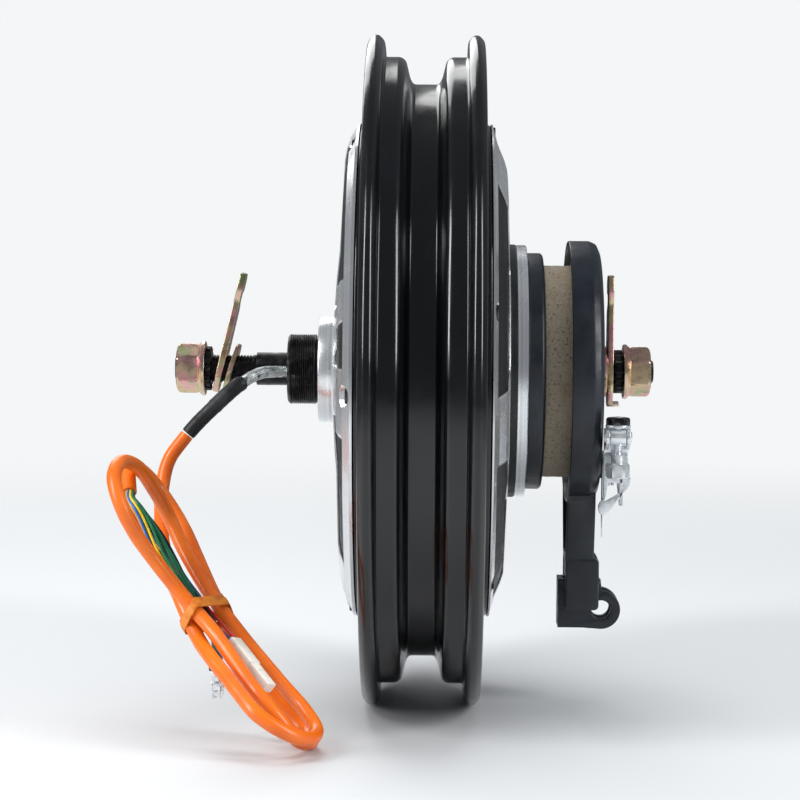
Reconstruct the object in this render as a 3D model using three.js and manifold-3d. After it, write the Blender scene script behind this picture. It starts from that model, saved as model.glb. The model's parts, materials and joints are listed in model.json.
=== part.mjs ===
// Hub motor wheel: 12 inch cast rim with a direct drive motor, axle hardware, a band brake and the motor cable.
// Millimetres, +Z up, the wheel turns about Y, the brake is on the +Y side.
// Inside the group all Y values are measured from the rim's mid-plane.
import * as THREE from "three";
import { mergeVertices } from "three/addons/utils/BufferGeometryUtils.js";
import Module from "manifold-3d";

const wasm = await Module();
wasm.setup();

// Distance from the middle of the axle to the rim's mid-plane
const RIM_SHIFT = 4.9;

// Rim
const RIM_R = 166;
const RIM_HALF = 28.7;
const FLANGE_WALL = 20.5;
const SEAT_R = 155.2;
const WELL_R = 141.8;
const WELL_HALF = 6.2;
const SHELL_OUT_R = 122;
const SHELL_IN_R = 112.3;
const SHELL_HALF = 32;

// Motor
const STACK_HALF = 17.5;
const STATOR_R = 103.5;
const STATOR_IN_R = 76;
const TEETH = 27;
const MAGNETS = 30;

// Side covers
const COVER_R = 122.3;
const COVER_IN = 32.1;
const SCREW_RING_R = 117.2;
const SCREWS_A_SIDE = 5;
const LEFT_SCREW_TURN = -3;
const RIGHT_SCREW_TURN = 16;
const POCKET_OUT_R = 115.5;
const LEFT_SEAT = 34;
const RIGHT_SEAT = 33;
// Start and end angle of each pocket between the spokes
const LEFT_POCKETS = [[24, 88], [3, 14], [-50, -13], [108, 160], [176, 224], [242, 292]];
const RIGHT_POCKETS = [[-3.5, 54], [-78, -20], [100, 146], [162, 208], [224, 266]];

// Bearings 17 x 40 x 12
const BEARING_OUT_R = 20;
const BEARING_IN_R = 8.5;
const BEARING_NEAR = 32.2;
const BEARING_FAR = 44.2;
const BALLS = 8;

// Axle
const AXLE_LEFT = -124;
const AXLE_RIGHT = 114.2;
const SHOULDER_R = 8.2;
const THREAD_R = 6.9;
const LEFT_SHOULDER = -83.5;
const RIGHT_SHOULDER = 83.2;
const FLAT_HALF = 5;

// Brake
const DRUM_R = 52.8;
const DRUM_IN = 58.6;
const DRUM_OUT = 79.4;
const PAN_R = 65;
const PAN_IN_R = 62;
const PAN_OPEN = 71;
const PAN_FLOOR = 83.5;
const PAN_BACK = 86.5;
const BAND_R = 57.6;
const CAM_ANGLE = -56;
const CAM_R = 52.1;
const CAM_X = CAM_R * Math.cos(THREE.MathUtils.degToRad(CAM_ANGLE));
const CAM_Z = CAM_R * Math.sin(THREE.MathUtils.degToRad(CAM_ANGLE));
const CRANK_X = BAND_R * Math.cos(THREE.MathUtils.degToRad(CAM_ANGLE));
const CRANK_Z = BAND_R * Math.sin(THREE.MathUtils.degToRad(CAM_ANGLE));
const LEVER_TRAVEL = 18;
const ANCHOR_ANGLE = -86;
const ANCHOR_PIN_X = BAND_R * Math.cos(THREE.MathUtils.degToRad(ANCHOR_ANGLE));
const ANCHOR_PIN_Z = BAND_R * Math.sin(THREE.MathUtils.degToRad(ANCHOR_ANGLE));
const TRUNNION_X = 62;
const TRUNNION_Y = 92.9;
const TRUNNION_Z = -28;

// Loose left axle hardware
const LEFT_WASHER_LEAN = 17;
const LEFT_ARM_LEAN = 13.5;

// Clevis at the end of the reaction arm
const CLEVIS_Y = 89.2;
const CLEVIS_Z = -118.6;
const CLEVIS_HALF = 8.5;
const CLEVIS_GAP = 4.5;

// Cable
const SLEEVE_R = 2.9;
const SHRINK_R = 3.75;
const CABLE_R = 3.4;
const WIRES_R = 3.2;

const rad = THREE.MathUtils.degToRad;

// ---------- shapes ----------

// Turns the faces of a closed geometry outwards.
function facingOut(geometry) {
  const g = geometry.index ? geometry.toNonIndexed() : geometry.clone();
  const p = g.getAttribute("position");
  let volume = 0;
  for (let i = 0; i < p.count; i += 3) {
    const a = new THREE.Vector3().fromBufferAttribute(p, i);
    const b = new THREE.Vector3().fromBufferAttribute(p, i + 1);
    const c = new THREE.Vector3().fromBufferAttribute(p, i + 2);
    volume += a.dot(b.cross(c));
  }
  if (volume < 0) {
    for (let i = 0; i < p.count; i += 3) {
      const b = new THREE.Vector3().fromBufferAttribute(p, i + 1);
      const c = new THREE.Vector3().fromBufferAttribute(p, i + 2);
      p.setXYZ(i + 1, c.x, c.y, c.z);
      p.setXYZ(i + 2, b.x, b.y, b.z);
    }
  }
  return g;
}

// Solid for a boolean operation
function solid(geometry) {
  const g = facingOut(geometry);
  g.deleteAttribute("normal");
  g.deleteAttribute("uv");
  const merged = mergeVertices(g, 1e-4);
  return new wasm.Manifold(
    new wasm.Mesh({
      numProp: 3,
      vertProperties: new Float32Array(merged.getAttribute("position").array),
      triVerts: new Uint32Array(merged.index.array),
    }),
  );
}

// Geometry from the result of a boolean operation
function geometryOf(body) {
  const mesh = body.getMesh();
  const positions = new Float32Array(mesh.numVert * 3);
  for (let i = 0; i < mesh.numVert; i++) {
    for (let k = 0; k < 3; k++) {
      positions[i * 3 + k] = mesh.vertProperties[i * mesh.numProp + k];
    }
  }
  const g = new THREE.BufferGeometry();
  g.setAttribute("position", new THREE.BufferAttribute(positions, 3));
  g.setIndex(new THREE.BufferAttribute(new Uint32Array(mesh.triVerts), 1));
  const flat = g.toNonIndexed();
  flat.computeVertexNormals();
  return flat;
}

function union(...geometries) {
  let body = solid(geometries[0]);
  for (const g of geometries.slice(1)) body = body.add(solid(g));
  return geometryOf(body);
}

function cut(geometry, ...tools) {
  let body = solid(geometry);
  for (const t of tools) body = body.subtract(solid(t));
  return geometryOf(body);
}

function common(a, b) {
  return geometryOf(solid(a).intersect(solid(b)));
}

// Turned shape about Y from [radius, y] pairs
function turned(profile, segments = 48) {
  const points = profile.map(([r, y]) => new THREE.Vector2(r, y));
  const first = points[0];
  const last = points[points.length - 1];
  if (first.x > 0 || last.x > 0) points.push(first.clone());
  return facingOut(new THREE.LatheGeometry(points, segments));
}

function ring(inner, outer, y0, y1, segments = 32) {
  return turned([[inner, y0], [outer, y0], [outer, y1], [inner, y1]], segments);
}

function disc(radius, y0, y1, segments = 24) {
  return turned([[0, y0], [radius, y0], [radius, y1], [0, y1]], segments);
}

function box(x0, x1, y0, y1, z0, z1) {
  const g = new THREE.BoxGeometry(x1 - x0, y1 - y0, z1 - z0);
  return g.translate((x0 + x1) / 2, (y0 + y1) / 2, (z0 + z1) / 2);
}

function outline(points) {
  return new THREE.Shape(points.map(([u, v]) => new THREE.Vector2(u, v)));
}

// Plate with an outline of [x, z] pairs between y0 and y1
function plateY(points, y0, y1) {
  const g = new THREE.ExtrudeGeometry(outline(points), { depth: y1 - y0, bevelEnabled: false });
  return g.rotateX(Math.PI / 2).translate(0, y1, 0);
}

// Plate with an outline of [y, z] pairs between x0 and x1
function plateX(points, x0, x1) {
  const g = new THREE.ExtrudeGeometry(outline(points), { depth: x1 - x0, bevelEnabled: false });
  const turn = new THREE.Matrix4().makeBasis(
    new THREE.Vector3(0, 1, 0),
    new THREE.Vector3(0, 0, 1),
    new THREE.Vector3(1, 0, 0),
  );
  return g.applyMatrix4(turn).translate(x0, 0, 0);
}

function rodY(radius, y0, y1, x, z, segments = 16) {
  return disc(radius, y0, y1, segments).translate(x, 0, z);
}

function rodX(radius, x0, x1, y, z, segments = 16) {
  return disc(radius, x0, x1, segments).rotateZ(-Math.PI / 2).translate(0, y, z);
}

function rodZ(radius, z0, z1, x, y, segments = 16) {
  return disc(radius, z0, z1, segments).rotateX(Math.PI / 2).translate(x, y, 0);
}

// Hexagonal prism along Y with rounded corners at both ends
function hexY(acrossFlats, y0, y1, x = 0, z = 0) {
  const corner = acrossFlats / Math.sqrt(3);
  const hex = disc(corner, y0, y1, 6);
  const trim = turned([
    [0, y0],
    [acrossFlats * 0.49, y0],
    [corner + 0.1, y0 + 1.4],
    [corner + 0.1, y1 - 1.4],
    [acrossFlats * 0.49, y1],
    [0, y1],
  ], 12);
  return common(hex, trim).translate(x, 0, z);
}

// Tube along a smooth route of [x, y, z] points
function tube(route, radius, steps, sides = 8) {
  const curve = new THREE.CatmullRomCurve3(
    route.map(([x, y, z]) => new THREE.Vector3(x, y, z)),
    false,
    "centripetal",
  );
  const section = new THREE.Shape();
  for (let i = 0; i < sides; i++) {
    const a = (i * 2 * Math.PI) / sides;
    const u = radius * Math.cos(a);
    const v = radius * Math.sin(a);
    if (i === 0) section.moveTo(u, v);
    else section.lineTo(u, v);
  }
  section.closePath();
  return facingOut(
    new THREE.ExtrudeGeometry(section, { steps, extrudePath: curve, bevelEnabled: false }),
  );
}

// Part of a ring between two angles about Y, measured from +X towards +Z
function arcPlate(inner, outer, start, end, y0, y1, steps) {
  const points = [];
  for (let i = 0; i <= steps; i++) {
    const a = rad(start + ((end - start) * i) / steps);
    points.push([outer * Math.cos(a), outer * Math.sin(a)]);
  }
  for (let i = steps; i >= 0; i--) {
    const a = rad(start + ((end - start) * i) / steps);
    points.push([inner * Math.cos(a), inner * Math.sin(a)]);
  }
  return plateY(points, y0, y1);
}

// ---------- scene graph ----------

const object = new THREE.Group();
object.name = "hub_motor_wheel";
object.position.y = RIM_SHIFT;

function group(name, parent = object) {
  const g = new THREE.Group();
  g.name = name;
  parent.add(g);
  return g;
}

function add(parent, name, geometry, color, roughness, metalness) {
  const material = new THREE.MeshStandardMaterial({ color, roughness, metalness });
  material.name = `${name}_finish`;
  const mesh = new THREE.Mesh(geometry, material);
  mesh.name = name;
  parent.add(mesh);
  return mesh;
}

const BLACK_PAINT = 0x16181b;
const STEEL = 0xb9bdc2;
const MACHINED = 0xd6d9dc;
const ZINC = 0xc9b48c;
const ORANGE = 0xe0662a;
const CAST = 0x7c7668;

const fixed = group("axle_assembly");
const wheel = group("wheel");
const lever = group("brake_lever_group");
const cableEnd = group("cable_anchor_group", lever);
const cord = group("cord_set", fixed);

// ---------- axle and stator ----------

const axleBlank = turned([
  [0, AXLE_LEFT],
  [5.6, AXLE_LEFT],
  [THREAD_R, AXLE_LEFT + 1.4],
  [THREAD_R, LEFT_SHOULDER],
  [SHOULDER_R, LEFT_SHOULDER],
  [SHOULDER_R, -46],
  [BEARING_IN_R - 0.02, -46],
  [BEARING_IN_R - 0.02, -31.8],
  [12, -31.8],
  [12, 31.8],
  [BEARING_IN_R - 0.02, 31.8],
  [BEARING_IN_R - 0.02, 60],
  [SHOULDER_R, 60],
  [SHOULDER_R, RIGHT_SHOULDER],
  [THREAD_R, RIGHT_SHOULDER],
  [THREAD_R, AXLE_RIGHT - 1.9],
  [5, AXLE_RIGHT],
  [0, AXLE_RIGHT],
], 20);
const leftFlats = [-1, 1].map((side) =>
  box(
    Math.min(side * FLAT_HALF, side * 9),
    Math.max(side * FLAT_HALF, side * 9),
    AXLE_LEFT - 1,
    LEFT_SHOULDER - 0.01,
    -9,
    9,
  ),
);
const rightFlats = [-1, 1].map((side) =>
  box(
    Math.min(side * FLAT_HALF, side * 9),
    Math.max(side * FLAT_HALF, side * 9),
    RIGHT_SHOULDER + 0.01,
    AXLE_RIGHT + 1,
    -9,
    9,
  ),
);
const cableSlot = box(3, 14, -82.5, -64, -4.3, 2.3);
add(fixed, "axle", cut(axleBlank, ...leftFlats, ...rightFlats, cableSlot), 0x3a3b3d, 0.35, 0.9);

const carrierBlank = turned([
  [12.05, -12],
  [22, -12],
  [24, -3],
  [66, -3],
  [68, -14],
  [STATOR_IN_R - 0.2, -14],
  [STATOR_IN_R - 0.2, 14],
  [68, 14],
  [66, 3],
  [24, 3],
  [22, 12],
  [12.05, 12],
], 20);
const carrierWindows = [];
for (let i = 0; i < 6; i++) {
  const a = rad(i * 60 + 30);
  carrierWindows.push(rodY(11.5, -5, 5, 45 * Math.cos(a), 45 * Math.sin(a), 6));
}
add(fixed, "stator_carrier", cut(carrierBlank, ...carrierWindows), 0xa9adb1, 0.5, 0.8);

function statorOutline() {
  const points = [];
  const pitch = 360 / TEETH;
  const root = 84;
  const neck = 100.5;
  for (let i = 0; i < TEETH; i++) {
    const c = i * pitch;
    const corners = [
      [root, -3.2],
      [neck, -2.6],
      [STATOR_R, -5.4],
      [STATOR_R, 5.4],
      [neck, 2.6],
      [root, 3.2],
    ];
    for (const [r, da] of corners) {
      const a = rad(c + da);
      points.push([r * Math.cos(a), r * Math.sin(a)]);
    }
  }
  return points;
}
const statorShape = outline(statorOutline());
const statorBore = new THREE.Path();
statorBore.absarc(0, 0, STATOR_IN_R, 0, 2 * Math.PI, true);
statorShape.holes.push(statorBore);
const stack = new THREE.ExtrudeGeometry(statorShape, {
  depth: 2 * STACK_HALF,
  bevelEnabled: false,
  curveSegments: 36,
});
stack.rotateX(Math.PI / 2).translate(0, STACK_HALF, 0);
add(fixed, "stator_core", facingOut(stack), 0x6f7376, 0.5, 0.7);

// Copper end turns on both sides of the stack, joined by the wire in every third slot
const coilParts = [-1, 1].map((side) => {
  const near = side * (STACK_HALF + 0.3);
  const far = side * (STACK_HALF + 8.5);
  return turned([
    [86, near],
    [99, near],
    [100, side * (STACK_HALF + 4)],
    [97, far],
    [88, far],
    [85, side * (STACK_HALF + 4)],
  ], 24);
});
for (let i = 0; i < TEETH; i += 3) {
  const a = (i + 0.5) * (360 / TEETH);
  const wire = box(87, 98, -STACK_HALF - 1, STACK_HALF + 1, -2.1, 2.1);
  coilParts.push(wire.rotateY(-rad(a)));
}
add(fixed, "stator_windings", union(...coilParts), 0xb5622c, 0.4, 0.8);

add(
  fixed,
  "hall_sensor_board",
  union(
    box(84, 96, 26.4, 28, -24, 24),
    box(86, 90, 27.9, 29.6, -18, -14),
    box(86, 90, 27.9, 29.6, -2, 2),
    box(86, 90, 27.9, 29.6, 14, 18),
  ),
  0x2f7a4a,
  0.5,
  0.1,
);

// ---------- bearings ----------

for (const [side, name] of [[-1, "left"], [1, "right"]]) {
  const y0 = Math.min(side * BEARING_NEAR, side * BEARING_FAR);
  const y1 = Math.max(side * BEARING_NEAR, side * BEARING_FAR);
  const middle = (y0 + y1) / 2;
  add(
    fixed,
    `${name}_bearing_inner_race`,
    turned([[BEARING_IN_R + 0.05, y0], [11.4, y0], [10.6, middle], [11.4, y1], [BEARING_IN_R + 0.05, y1]], 24),
    STEEL,
    0.2,
    1,
  );
  add(
    wheel,
    `${name}_bearing_outer_race`,
    turned([[17, y0], [BEARING_OUT_R - 0.05, y0], [BEARING_OUT_R - 0.05, y1], [17, y1], [17.9, middle]], 24),
    STEEL,
    0.2,
    1,
  );
  const ballParts = [ring(13.6, 14.8, middle - 1.6, middle + 1.6, 12)];
  for (let i = 0; i < BALLS; i++) {
    const a = (i * 2 * Math.PI) / BALLS;
    const ball = new THREE.OctahedronGeometry(3, 1);
    ballParts.push(ball.translate(14.2 * Math.cos(a), middle, 14.2 * Math.sin(a)));
  }
  add(group(`${name}_cage_group`), `${name}_ball_cage`, union(...ballParts), MACHINED, 0.2, 1);
}

// ---------- rim and rotor ----------

const rimHalf = [
  [SHELL_OUT_R, 5],
  [136.5, 5],
  [138, 10],
  [150, 14.5],
  [150.5, RIM_HALF],
  [163, RIM_HALF],
  [RIM_R, RIM_HALF - 2.8],
  [RIM_R, RIM_HALF - 5.4],
  [163, FLANGE_WALL],
  [SEAT_R, FLANGE_WALL],
  [SEAT_R, 12.4],
  [153.4, 10],
  [144.4, 7.8],
  [WELL_R, WELL_HALF],
];
const rimProfile = [
  [SHELL_IN_R, SHELL_HALF],
  [SHELL_OUT_R, SHELL_HALF],
  ...rimHalf,
  ...rimHalf.slice().reverse().map(([r, y]) => [r, -y]),
  [SHELL_OUT_R, -SHELL_HALF],
  [SHELL_IN_R, -SHELL_HALF],
];
const valveHole = rodX(4.15, -150, -130, 0, 0, 12);
const screwHoles = [];
for (const side of [-1, 1]) {
  for (let i = 0; i < SCREWS_A_SIDE; i++) {
    const a = rad((i * 360) / SCREWS_A_SIDE + (side < 0 ? LEFT_SCREW_TURN : RIGHT_SCREW_TURN));
    const y0 = Math.min(side * 21, side * 33);
    const y1 = Math.max(side * 21, side * 33);
    screwHoles.push(rodY(2.4, y0, y1, SCREW_RING_R * Math.cos(a), SCREW_RING_R * Math.sin(a), 8));
  }
}
add(wheel, "rim", cut(turned(rimProfile, 40), valveHole, ...screwHoles), BLACK_PAINT, 0.22, 0.4);

add(wheel, "rotor_yoke", ring(108.1, 111.9, -STACK_HALF, STACK_HALF, 40), 0x55585c, 0.4, 0.9);

// Magnets stand inwards from a thin layer of adhesive
const magnetShape = new THREE.Shape();
magnetShape.absarc(0, 0, 107.7, 0, 2 * Math.PI, false);
const magnetHole = new THREE.Path();
for (let i = 0; i < MAGNETS; i++) {
  for (const [r, da] of [[104.6, -5.2], [104.6, 5.2], [107, 5.4], [107, 6.6]]) {
    const a = -rad(i * (360 / MAGNETS) + da);
    if (i === 0 && da === -5.2) magnetHole.moveTo(r * Math.cos(a), r * Math.sin(a));
    else magnetHole.lineTo(r * Math.cos(a), r * Math.sin(a));
  }
}
magnetHole.closePath();
magnetShape.holes.push(magnetHole);
const magnets = new THREE.ExtrudeGeometry(magnetShape, {
  depth: 2 * STACK_HALF - 2,
  bevelEnabled: false,
  curveSegments: 30,
});
magnets.rotateX(Math.PI / 2).translate(0, STACK_HALF - 1, 0);
add(wheel, "magnet_ring", facingOut(magnets), 0x8e9296, 0.3, 0.9);

// ---------- side covers ----------

// Sector pockets between the spokes, cut to an even depth below the dished face
function pockets(side, floorProfile, sectors) {
  const skin = turned(floorProfile, 24);
  const outer = POCKET_OUT_R + 3;
  const wedges = [];
  for (const [from, to] of sectors) {
    const a0 = rad(from);
    const a1 = rad(to);
    const am = (a0 + a1) / 2;
    const points = [
      [30 * Math.cos(am), 30 * Math.sin(am)],
      [outer * Math.cos(a0), outer * Math.sin(a0)],
      [1.1 * outer * Math.cos(am), 1.1 * outer * Math.sin(am)],
      [outer * Math.cos(a1), outer * Math.sin(a1)],
    ];
    wedges.push(plateY(points, Math.min(side * 36, side * 60), Math.max(side * 36, side * 60)));
  }
  return common(skin, union(...wedges));
}

// Each screw head is sunk in the sloping edge of the cover
function holesForScrews(side, first, seat) {
  const holes = [];
  for (let i = 0; i < SCREWS_A_SIDE; i++) {
    const a = rad((i * 360) / SCREWS_A_SIDE + first);
    const x = SCREW_RING_R * Math.cos(a);
    const z = SCREW_RING_R * Math.sin(a);
    holes.push(rodY(2.9, Math.min(side * 31, side * 40), Math.max(side * 31, side * 40), x, z, 8));
    holes.push(rodY(4.3, Math.min(side * seat, side * 42), Math.max(side * seat, side * 42), x, z, 12));
  }
  return holes;
}

function coverScrews(side, name, first, seat) {
  const under = side * (seat + 0.05);
  const top = side * (seat + 1.4);
  for (let i = 0; i < SCREWS_A_SIDE; i++) {
    const a = rad((i * 360) / SCREWS_A_SIDE + first);
    const profile = [[0, side * 24], [2.3, side * 24], [2.3, under], [3.7, under], [3.7, top], [0, top]];
    const screw = turned(profile, 8);
    const mesh = add(wheel, `${name}_cover_screw_${i + 1}`, screw, 0x2b2c2e, 0.35, 0.9);
    mesh.position.set(SCREW_RING_R * Math.cos(a), 0, SCREW_RING_R * Math.sin(a));
  }
}

const leftCoverBlank = turned([
  [COVER_R, -COVER_IN],
  [COVER_R, -33.4],
  [POCKET_OUT_R, -37.2],
  [110, -39],
  [104, -40],
  [61, -42],
  [47, -43.4],
  [26.2, -44.8],
  [26.2, -51.4],
  [25.3, -52.2],
  [17.8, -52.2],
  [17.8, -44.5],
  [BEARING_OUT_R, -44.5],
  [BEARING_OUT_R, -COVER_IN],
  [24, -COVER_IN],
  [27, -39.6],
  [61, -38.2],
  [104, -36.6],
  [112, -COVER_IN],
], 24);
const leftPocketFloor = [
  [POCKET_OUT_R, -36],
  [110, -37.8],
  [104, -38.8],
  [61, -40.8],
  [47, -42.2],
  [36, -43],
  [36, -50],
  [POCKET_OUT_R, -50],
];
const leftPockets = pockets(-1, leftPocketFloor, LEFT_POCKETS);
const leftHoles = holesForScrews(-1, LEFT_SCREW_TURN, LEFT_SEAT);
add(wheel, "left_cover", cut(leftCoverBlank, leftPockets, ...leftHoles), MACHINED, 0.25, 0.9);
coverScrews(-1, "left", LEFT_SCREW_TURN, LEFT_SEAT);

const rightCoverBlank = turned([
  [COVER_R, COVER_IN],
  [COVER_R, 32.9],
  [113, 35.4],
  [105, 38.8],
  [101, 40],
  [66, 41.4],
  [63, 41.6],
  [63, 44.8],
  [62.7, 45],
  [62.7, 49.7],
  [62.2, 50.2],
  [14, 50.2],
  [14, 44.5],
  [BEARING_OUT_R, 44.5],
  [BEARING_OUT_R, COVER_IN],
  [24, COVER_IN],
  [27, 39],
  [61, 38],
  [104, 36.4],
  [112, COVER_IN],
], 24);
const rightPocketFloor = [
  [POCKET_OUT_R, 33.6],
  [113, 34.2],
  [105, 37.6],
  [101, 38.8],
  [66, 40.2],
  [66, 50],
  [POCKET_OUT_R, 50],
];
const rightPockets = pockets(1, rightPocketFloor, RIGHT_POCKETS);
const rightHoles = holesForScrews(1, RIGHT_SCREW_TURN, RIGHT_SEAT);
add(wheel, "right_cover", cut(rightCoverBlank, rightPockets, ...rightHoles), MACHINED, 0.25, 0.9);
coverScrews(1, "right", RIGHT_SCREW_TURN, RIGHT_SEAT);

// Freewheel thread 1.37 inch
const FREEWHEEL_R = 17.45;
add(
  wheel,
  "freewheel_thread_adapter",
  turned([
    [12.4, -67.7],
    [16.2, -67.7],
    [FREEWHEEL_R, -66.4],
    [FREEWHEEL_R, -54],
    [16.6, -53.4],
    [16.6, -52.6],
    [17.6, -52.4],
    [17.6, -44.8],
    [12.4, -44.8],
  ], 24),
  0x1d1d1f,
  0.3,
  0.8,
);
add(wheel, "left_shaft_seal", ring(8.6, 12.2, -56, -51, 16), 0x202020, 0.8, 0);
add(wheel, "right_shaft_seal", ring(8.9, 13.8, 45, 49.8, 16), 0x202020, 0.8, 0);

// ---------- brake drum ----------

add(
  wheel,
  "drum_spacer_ring",
  turned([[14.5, 50.4], [58.4, 50.4], [58.8, 50.8], [58.8, 57.2], [57.6, 58.4], [14.5, 58.4]], 30),
  0x1b1d20,
  0.3,
  0.6,
);
add(
  wheel,
  "brake_drum",
  turned([
    [14.5, DRUM_IN],
    [DRUM_R - 0.6, DRUM_IN],
    [DRUM_R, DRUM_IN + 0.6],
    [DRUM_R, DRUM_OUT],
    [46, DRUM_OUT],
    [46, 64.5],
    [14.5, 64.5],
  ], 32),
  CAST,
  0.8,
  0.4,
);

// ---------- brake housing ----------

const pan = turned([
  [0, PAN_FLOOR],
  [PAN_IN_R, PAN_FLOOR],
  [PAN_IN_R, PAN_OPEN],
  [PAN_R, PAN_OPEN],
  [PAN_R, 81.5],
  [63.4, 84.8],
  [59.6, PAN_BACK],
  [17, PAN_BACK],
  [16, 88.7],
  [0, 88.7],
], 32);
const armOutline = [[-27, -45], [27, -45], [24, -66], [14, -95], [-14, -95], [-24, -66]];
const armHollow = [[-24, -40], [24, -40], [21, -66], [12, -90], [-12, -90], [-21, -66]];
const arm = cut(
  plateY(armOutline, PAN_OPEN, 85),
  disc(PAN_IN_R, PAN_OPEN - 1, PAN_FLOOR, 32),
);
// The arm's end is a fork; the clevis stands in its slot
const endBlock = cut(
  union(box(-15, 15, PAN_OPEN, 87.6, -118, -92), rodX(4, -15, 15, 85.5, -103.5, 16)),
  box(-8.8, 8.8, PAN_OPEN - 1, 91, -119, -102.9),
);
const doubleD = common(disc(7.1, 82, 90, 24), box(-5.3, 5.3, 82, 90, -8, 8));
const housing = cut(
  union(pan, arm, endBlock, rodY(7.5, PAN_FLOOR + 0.5, 87.3, CAM_X, CAM_Z, 16)),
  doubleD,
  plateY(armHollow, PAN_OPEN - 1, 82),
  rodY(4.1, 82, 89, CAM_X, CAM_Z, 16),
);
add(fixed, "brake_housing", housing, 0x17191c, 0.35, 0.5);

// Two ears in the fork hold the end of the arm to the frame's anchor
function clevisOutline() {
  const points = [[67.6, -103.2], [89, -103.2]];
  for (let i = 0; i <= 8; i++) {
    const a = rad(80 - i * 22);
    points.push([CLEVIS_Y + 9.6 * Math.cos(a), CLEVIS_Z + 9.6 * Math.sin(a)]);
  }
  points.push([67.6, -127.6]);
  return points;
}
const clevis = cut(
  union(
    plateX(clevisOutline(), -CLEVIS_HALF, -CLEVIS_GAP),
    plateX(clevisOutline(), CLEVIS_GAP, CLEVIS_HALF),
    box(-CLEVIS_HALF, CLEVIS_HALF, 67.6, 70.6, -127.6, -103.2),
  ),
  rodX(4.75, -20, 20, CLEVIS_Y, CLEVIS_Z, 20),
);
add(fixed, "anchor_clevis", clevis, 0x1a1c1f, 0.4, 0.5);

// ---------- band and lining ----------

const BAND_IN = 73.5;
const BAND_OUT = 79.4;
const bandParts = [arcPlate(57.1, 58.1, CAM_ANGLE + 3, 360 + ANCHOR_ANGLE - 2, BAND_IN, BAND_OUT, 34)];
const bandHoles = [rodY(2.65, 70, 82, ANCHOR_PIN_X, ANCHOR_PIN_Z, 12)];
bandParts.push(rodY(4, BAND_IN, BAND_OUT, ANCHOR_PIN_X, ANCHOR_PIN_Z, 16));
for (const share of [0, 0.5, 1]) {
  const a = rad(CAM_ANGLE) - rad(LEVER_TRAVEL) * share * ((BAND_R - CAM_R) / BAND_R);
  bandParts.push(rodY(3.7, BAND_IN, BAND_OUT, BAND_R * Math.cos(a), BAND_R * Math.sin(a), 12));
  bandHoles.push(rodY(2.35, 70, 82, BAND_R * Math.cos(a), BAND_R * Math.sin(a), 12));
}
add(fixed, "brake_band", cut(union(...bandParts), ...bandHoles), STEEL, 0.3, 1);
add(
  fixed,
  "brake_lining",
  arcPlate(53.5, 56.8, CAM_ANGLE + 14, 360 + ANCHOR_ANGLE - 10, BAND_IN, BAND_OUT, 32),
  0x5b4a3c,
  0.9,
  0,
);
add(
  fixed,
  "band_anchor_pin",
  rodY(2.4, BAND_IN - 0.8, PAN_FLOOR - 0.1, ANCHOR_PIN_X, ANCHOR_PIN_Z, 12),
  STEEL,
  0.3,
  1,
);

// Return spring: wire wound round the cam shaft with a straight leg at each end
const springRoute = [];
const SPRING_R = 10.8;
const SPRING_STEPS = 27;
springRoute.push([CAM_X - 16, 89.2, CAM_Z - SPRING_R]);
springRoute.push([CAM_X - 7, 89.2, CAM_Z - SPRING_R]);
for (let i = 0; i <= SPRING_STEPS; i++) {
  const a = rad(-90 + i * 30);
  springRoute.push([CAM_X + SPRING_R * Math.cos(a), 89.2 + i * 0.146, CAM_Z + SPRING_R * Math.sin(a)]);
}
springRoute.push([CAM_X + SPRING_R, 93.2, CAM_Z + 6]);
springRoute.push([CAM_X + SPRING_R, 93.2, CAM_Z + 12]);
add(fixed, "return_spring", tube(springRoute, 0.8, 42, 5), 0xcfd3d6, 0.25, 1);

// ---------- brake lever ----------

const crank = union(
  rodY(5.2, 79.8, 83, CAM_X, CAM_Z, 16),
  rodY(3.7, 79.8, 83, CRANK_X, CRANK_Z, 12),
  rodY(2, 74, 80, CRANK_X, CRANK_Z, 12),
  rodY(4.02, 82.9, 97.4, CAM_X, CAM_Z, 16),
);
add(lever, "cam_shaft", crank, STEEL, 0.3, 1);

const hubPoints = [];
for (let i = 0; i <= 8; i++) {
  const a = rad(60 + i * 25);
  hubPoints.push([CAM_X + 8.5 * Math.cos(a), CAM_Z + 8.5 * Math.sin(a)]);
}
const leverPlate = plateY([...hubPoints, [48, -62], [50.3, -62], [50.3, -40]], 94.6, 96.4);
const webPlate = plateX(
  [
    [87, -36],
    [87, -58],
    [84.4, -62],
    [85, -66],
    [88.5, -67],
    [100, -52],
    [100, -48],
    [98.6, -44],
    [98.6, -36],
  ],
  48.5,
  50.3,
);
const webWindow = plateX([[89.4, -50.8], [96.9, -51.4], [95.4, -55.6], [87.6, -60.2]], 47, 52);
function ear(y0, y1) {
  const points = [[48.5, -34.6], [56, -34.6]];
  for (let i = 0; i <= 8; i++) {
    const a = rad(-80 + i * 25);
    points.push([TRUNNION_X + 4.3 * Math.cos(a), TRUNNION_Z + 4.3 * Math.sin(a)]);
  }
  points.push([50, -30.2]);
  points.push([48.5, -30.2]);
  return plateY(points, y0, y1);
}
const leverBody = cut(
  union(leverPlate, cut(webPlate, webWindow), ear(87, 88.8), ear(97, 98.8), box(48.5, 50.3, 87, 98.8, -38, -24.6)),
  rodY(4.1, 90, 98, CAM_X, CAM_Z, 16),
  rodY(2.6, 84, 102, TRUNNION_X, TRUNNION_Z, 12),
);
add(lever, "brake_lever", leverBody, 0xc4c8cc, 0.25, 1);

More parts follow.
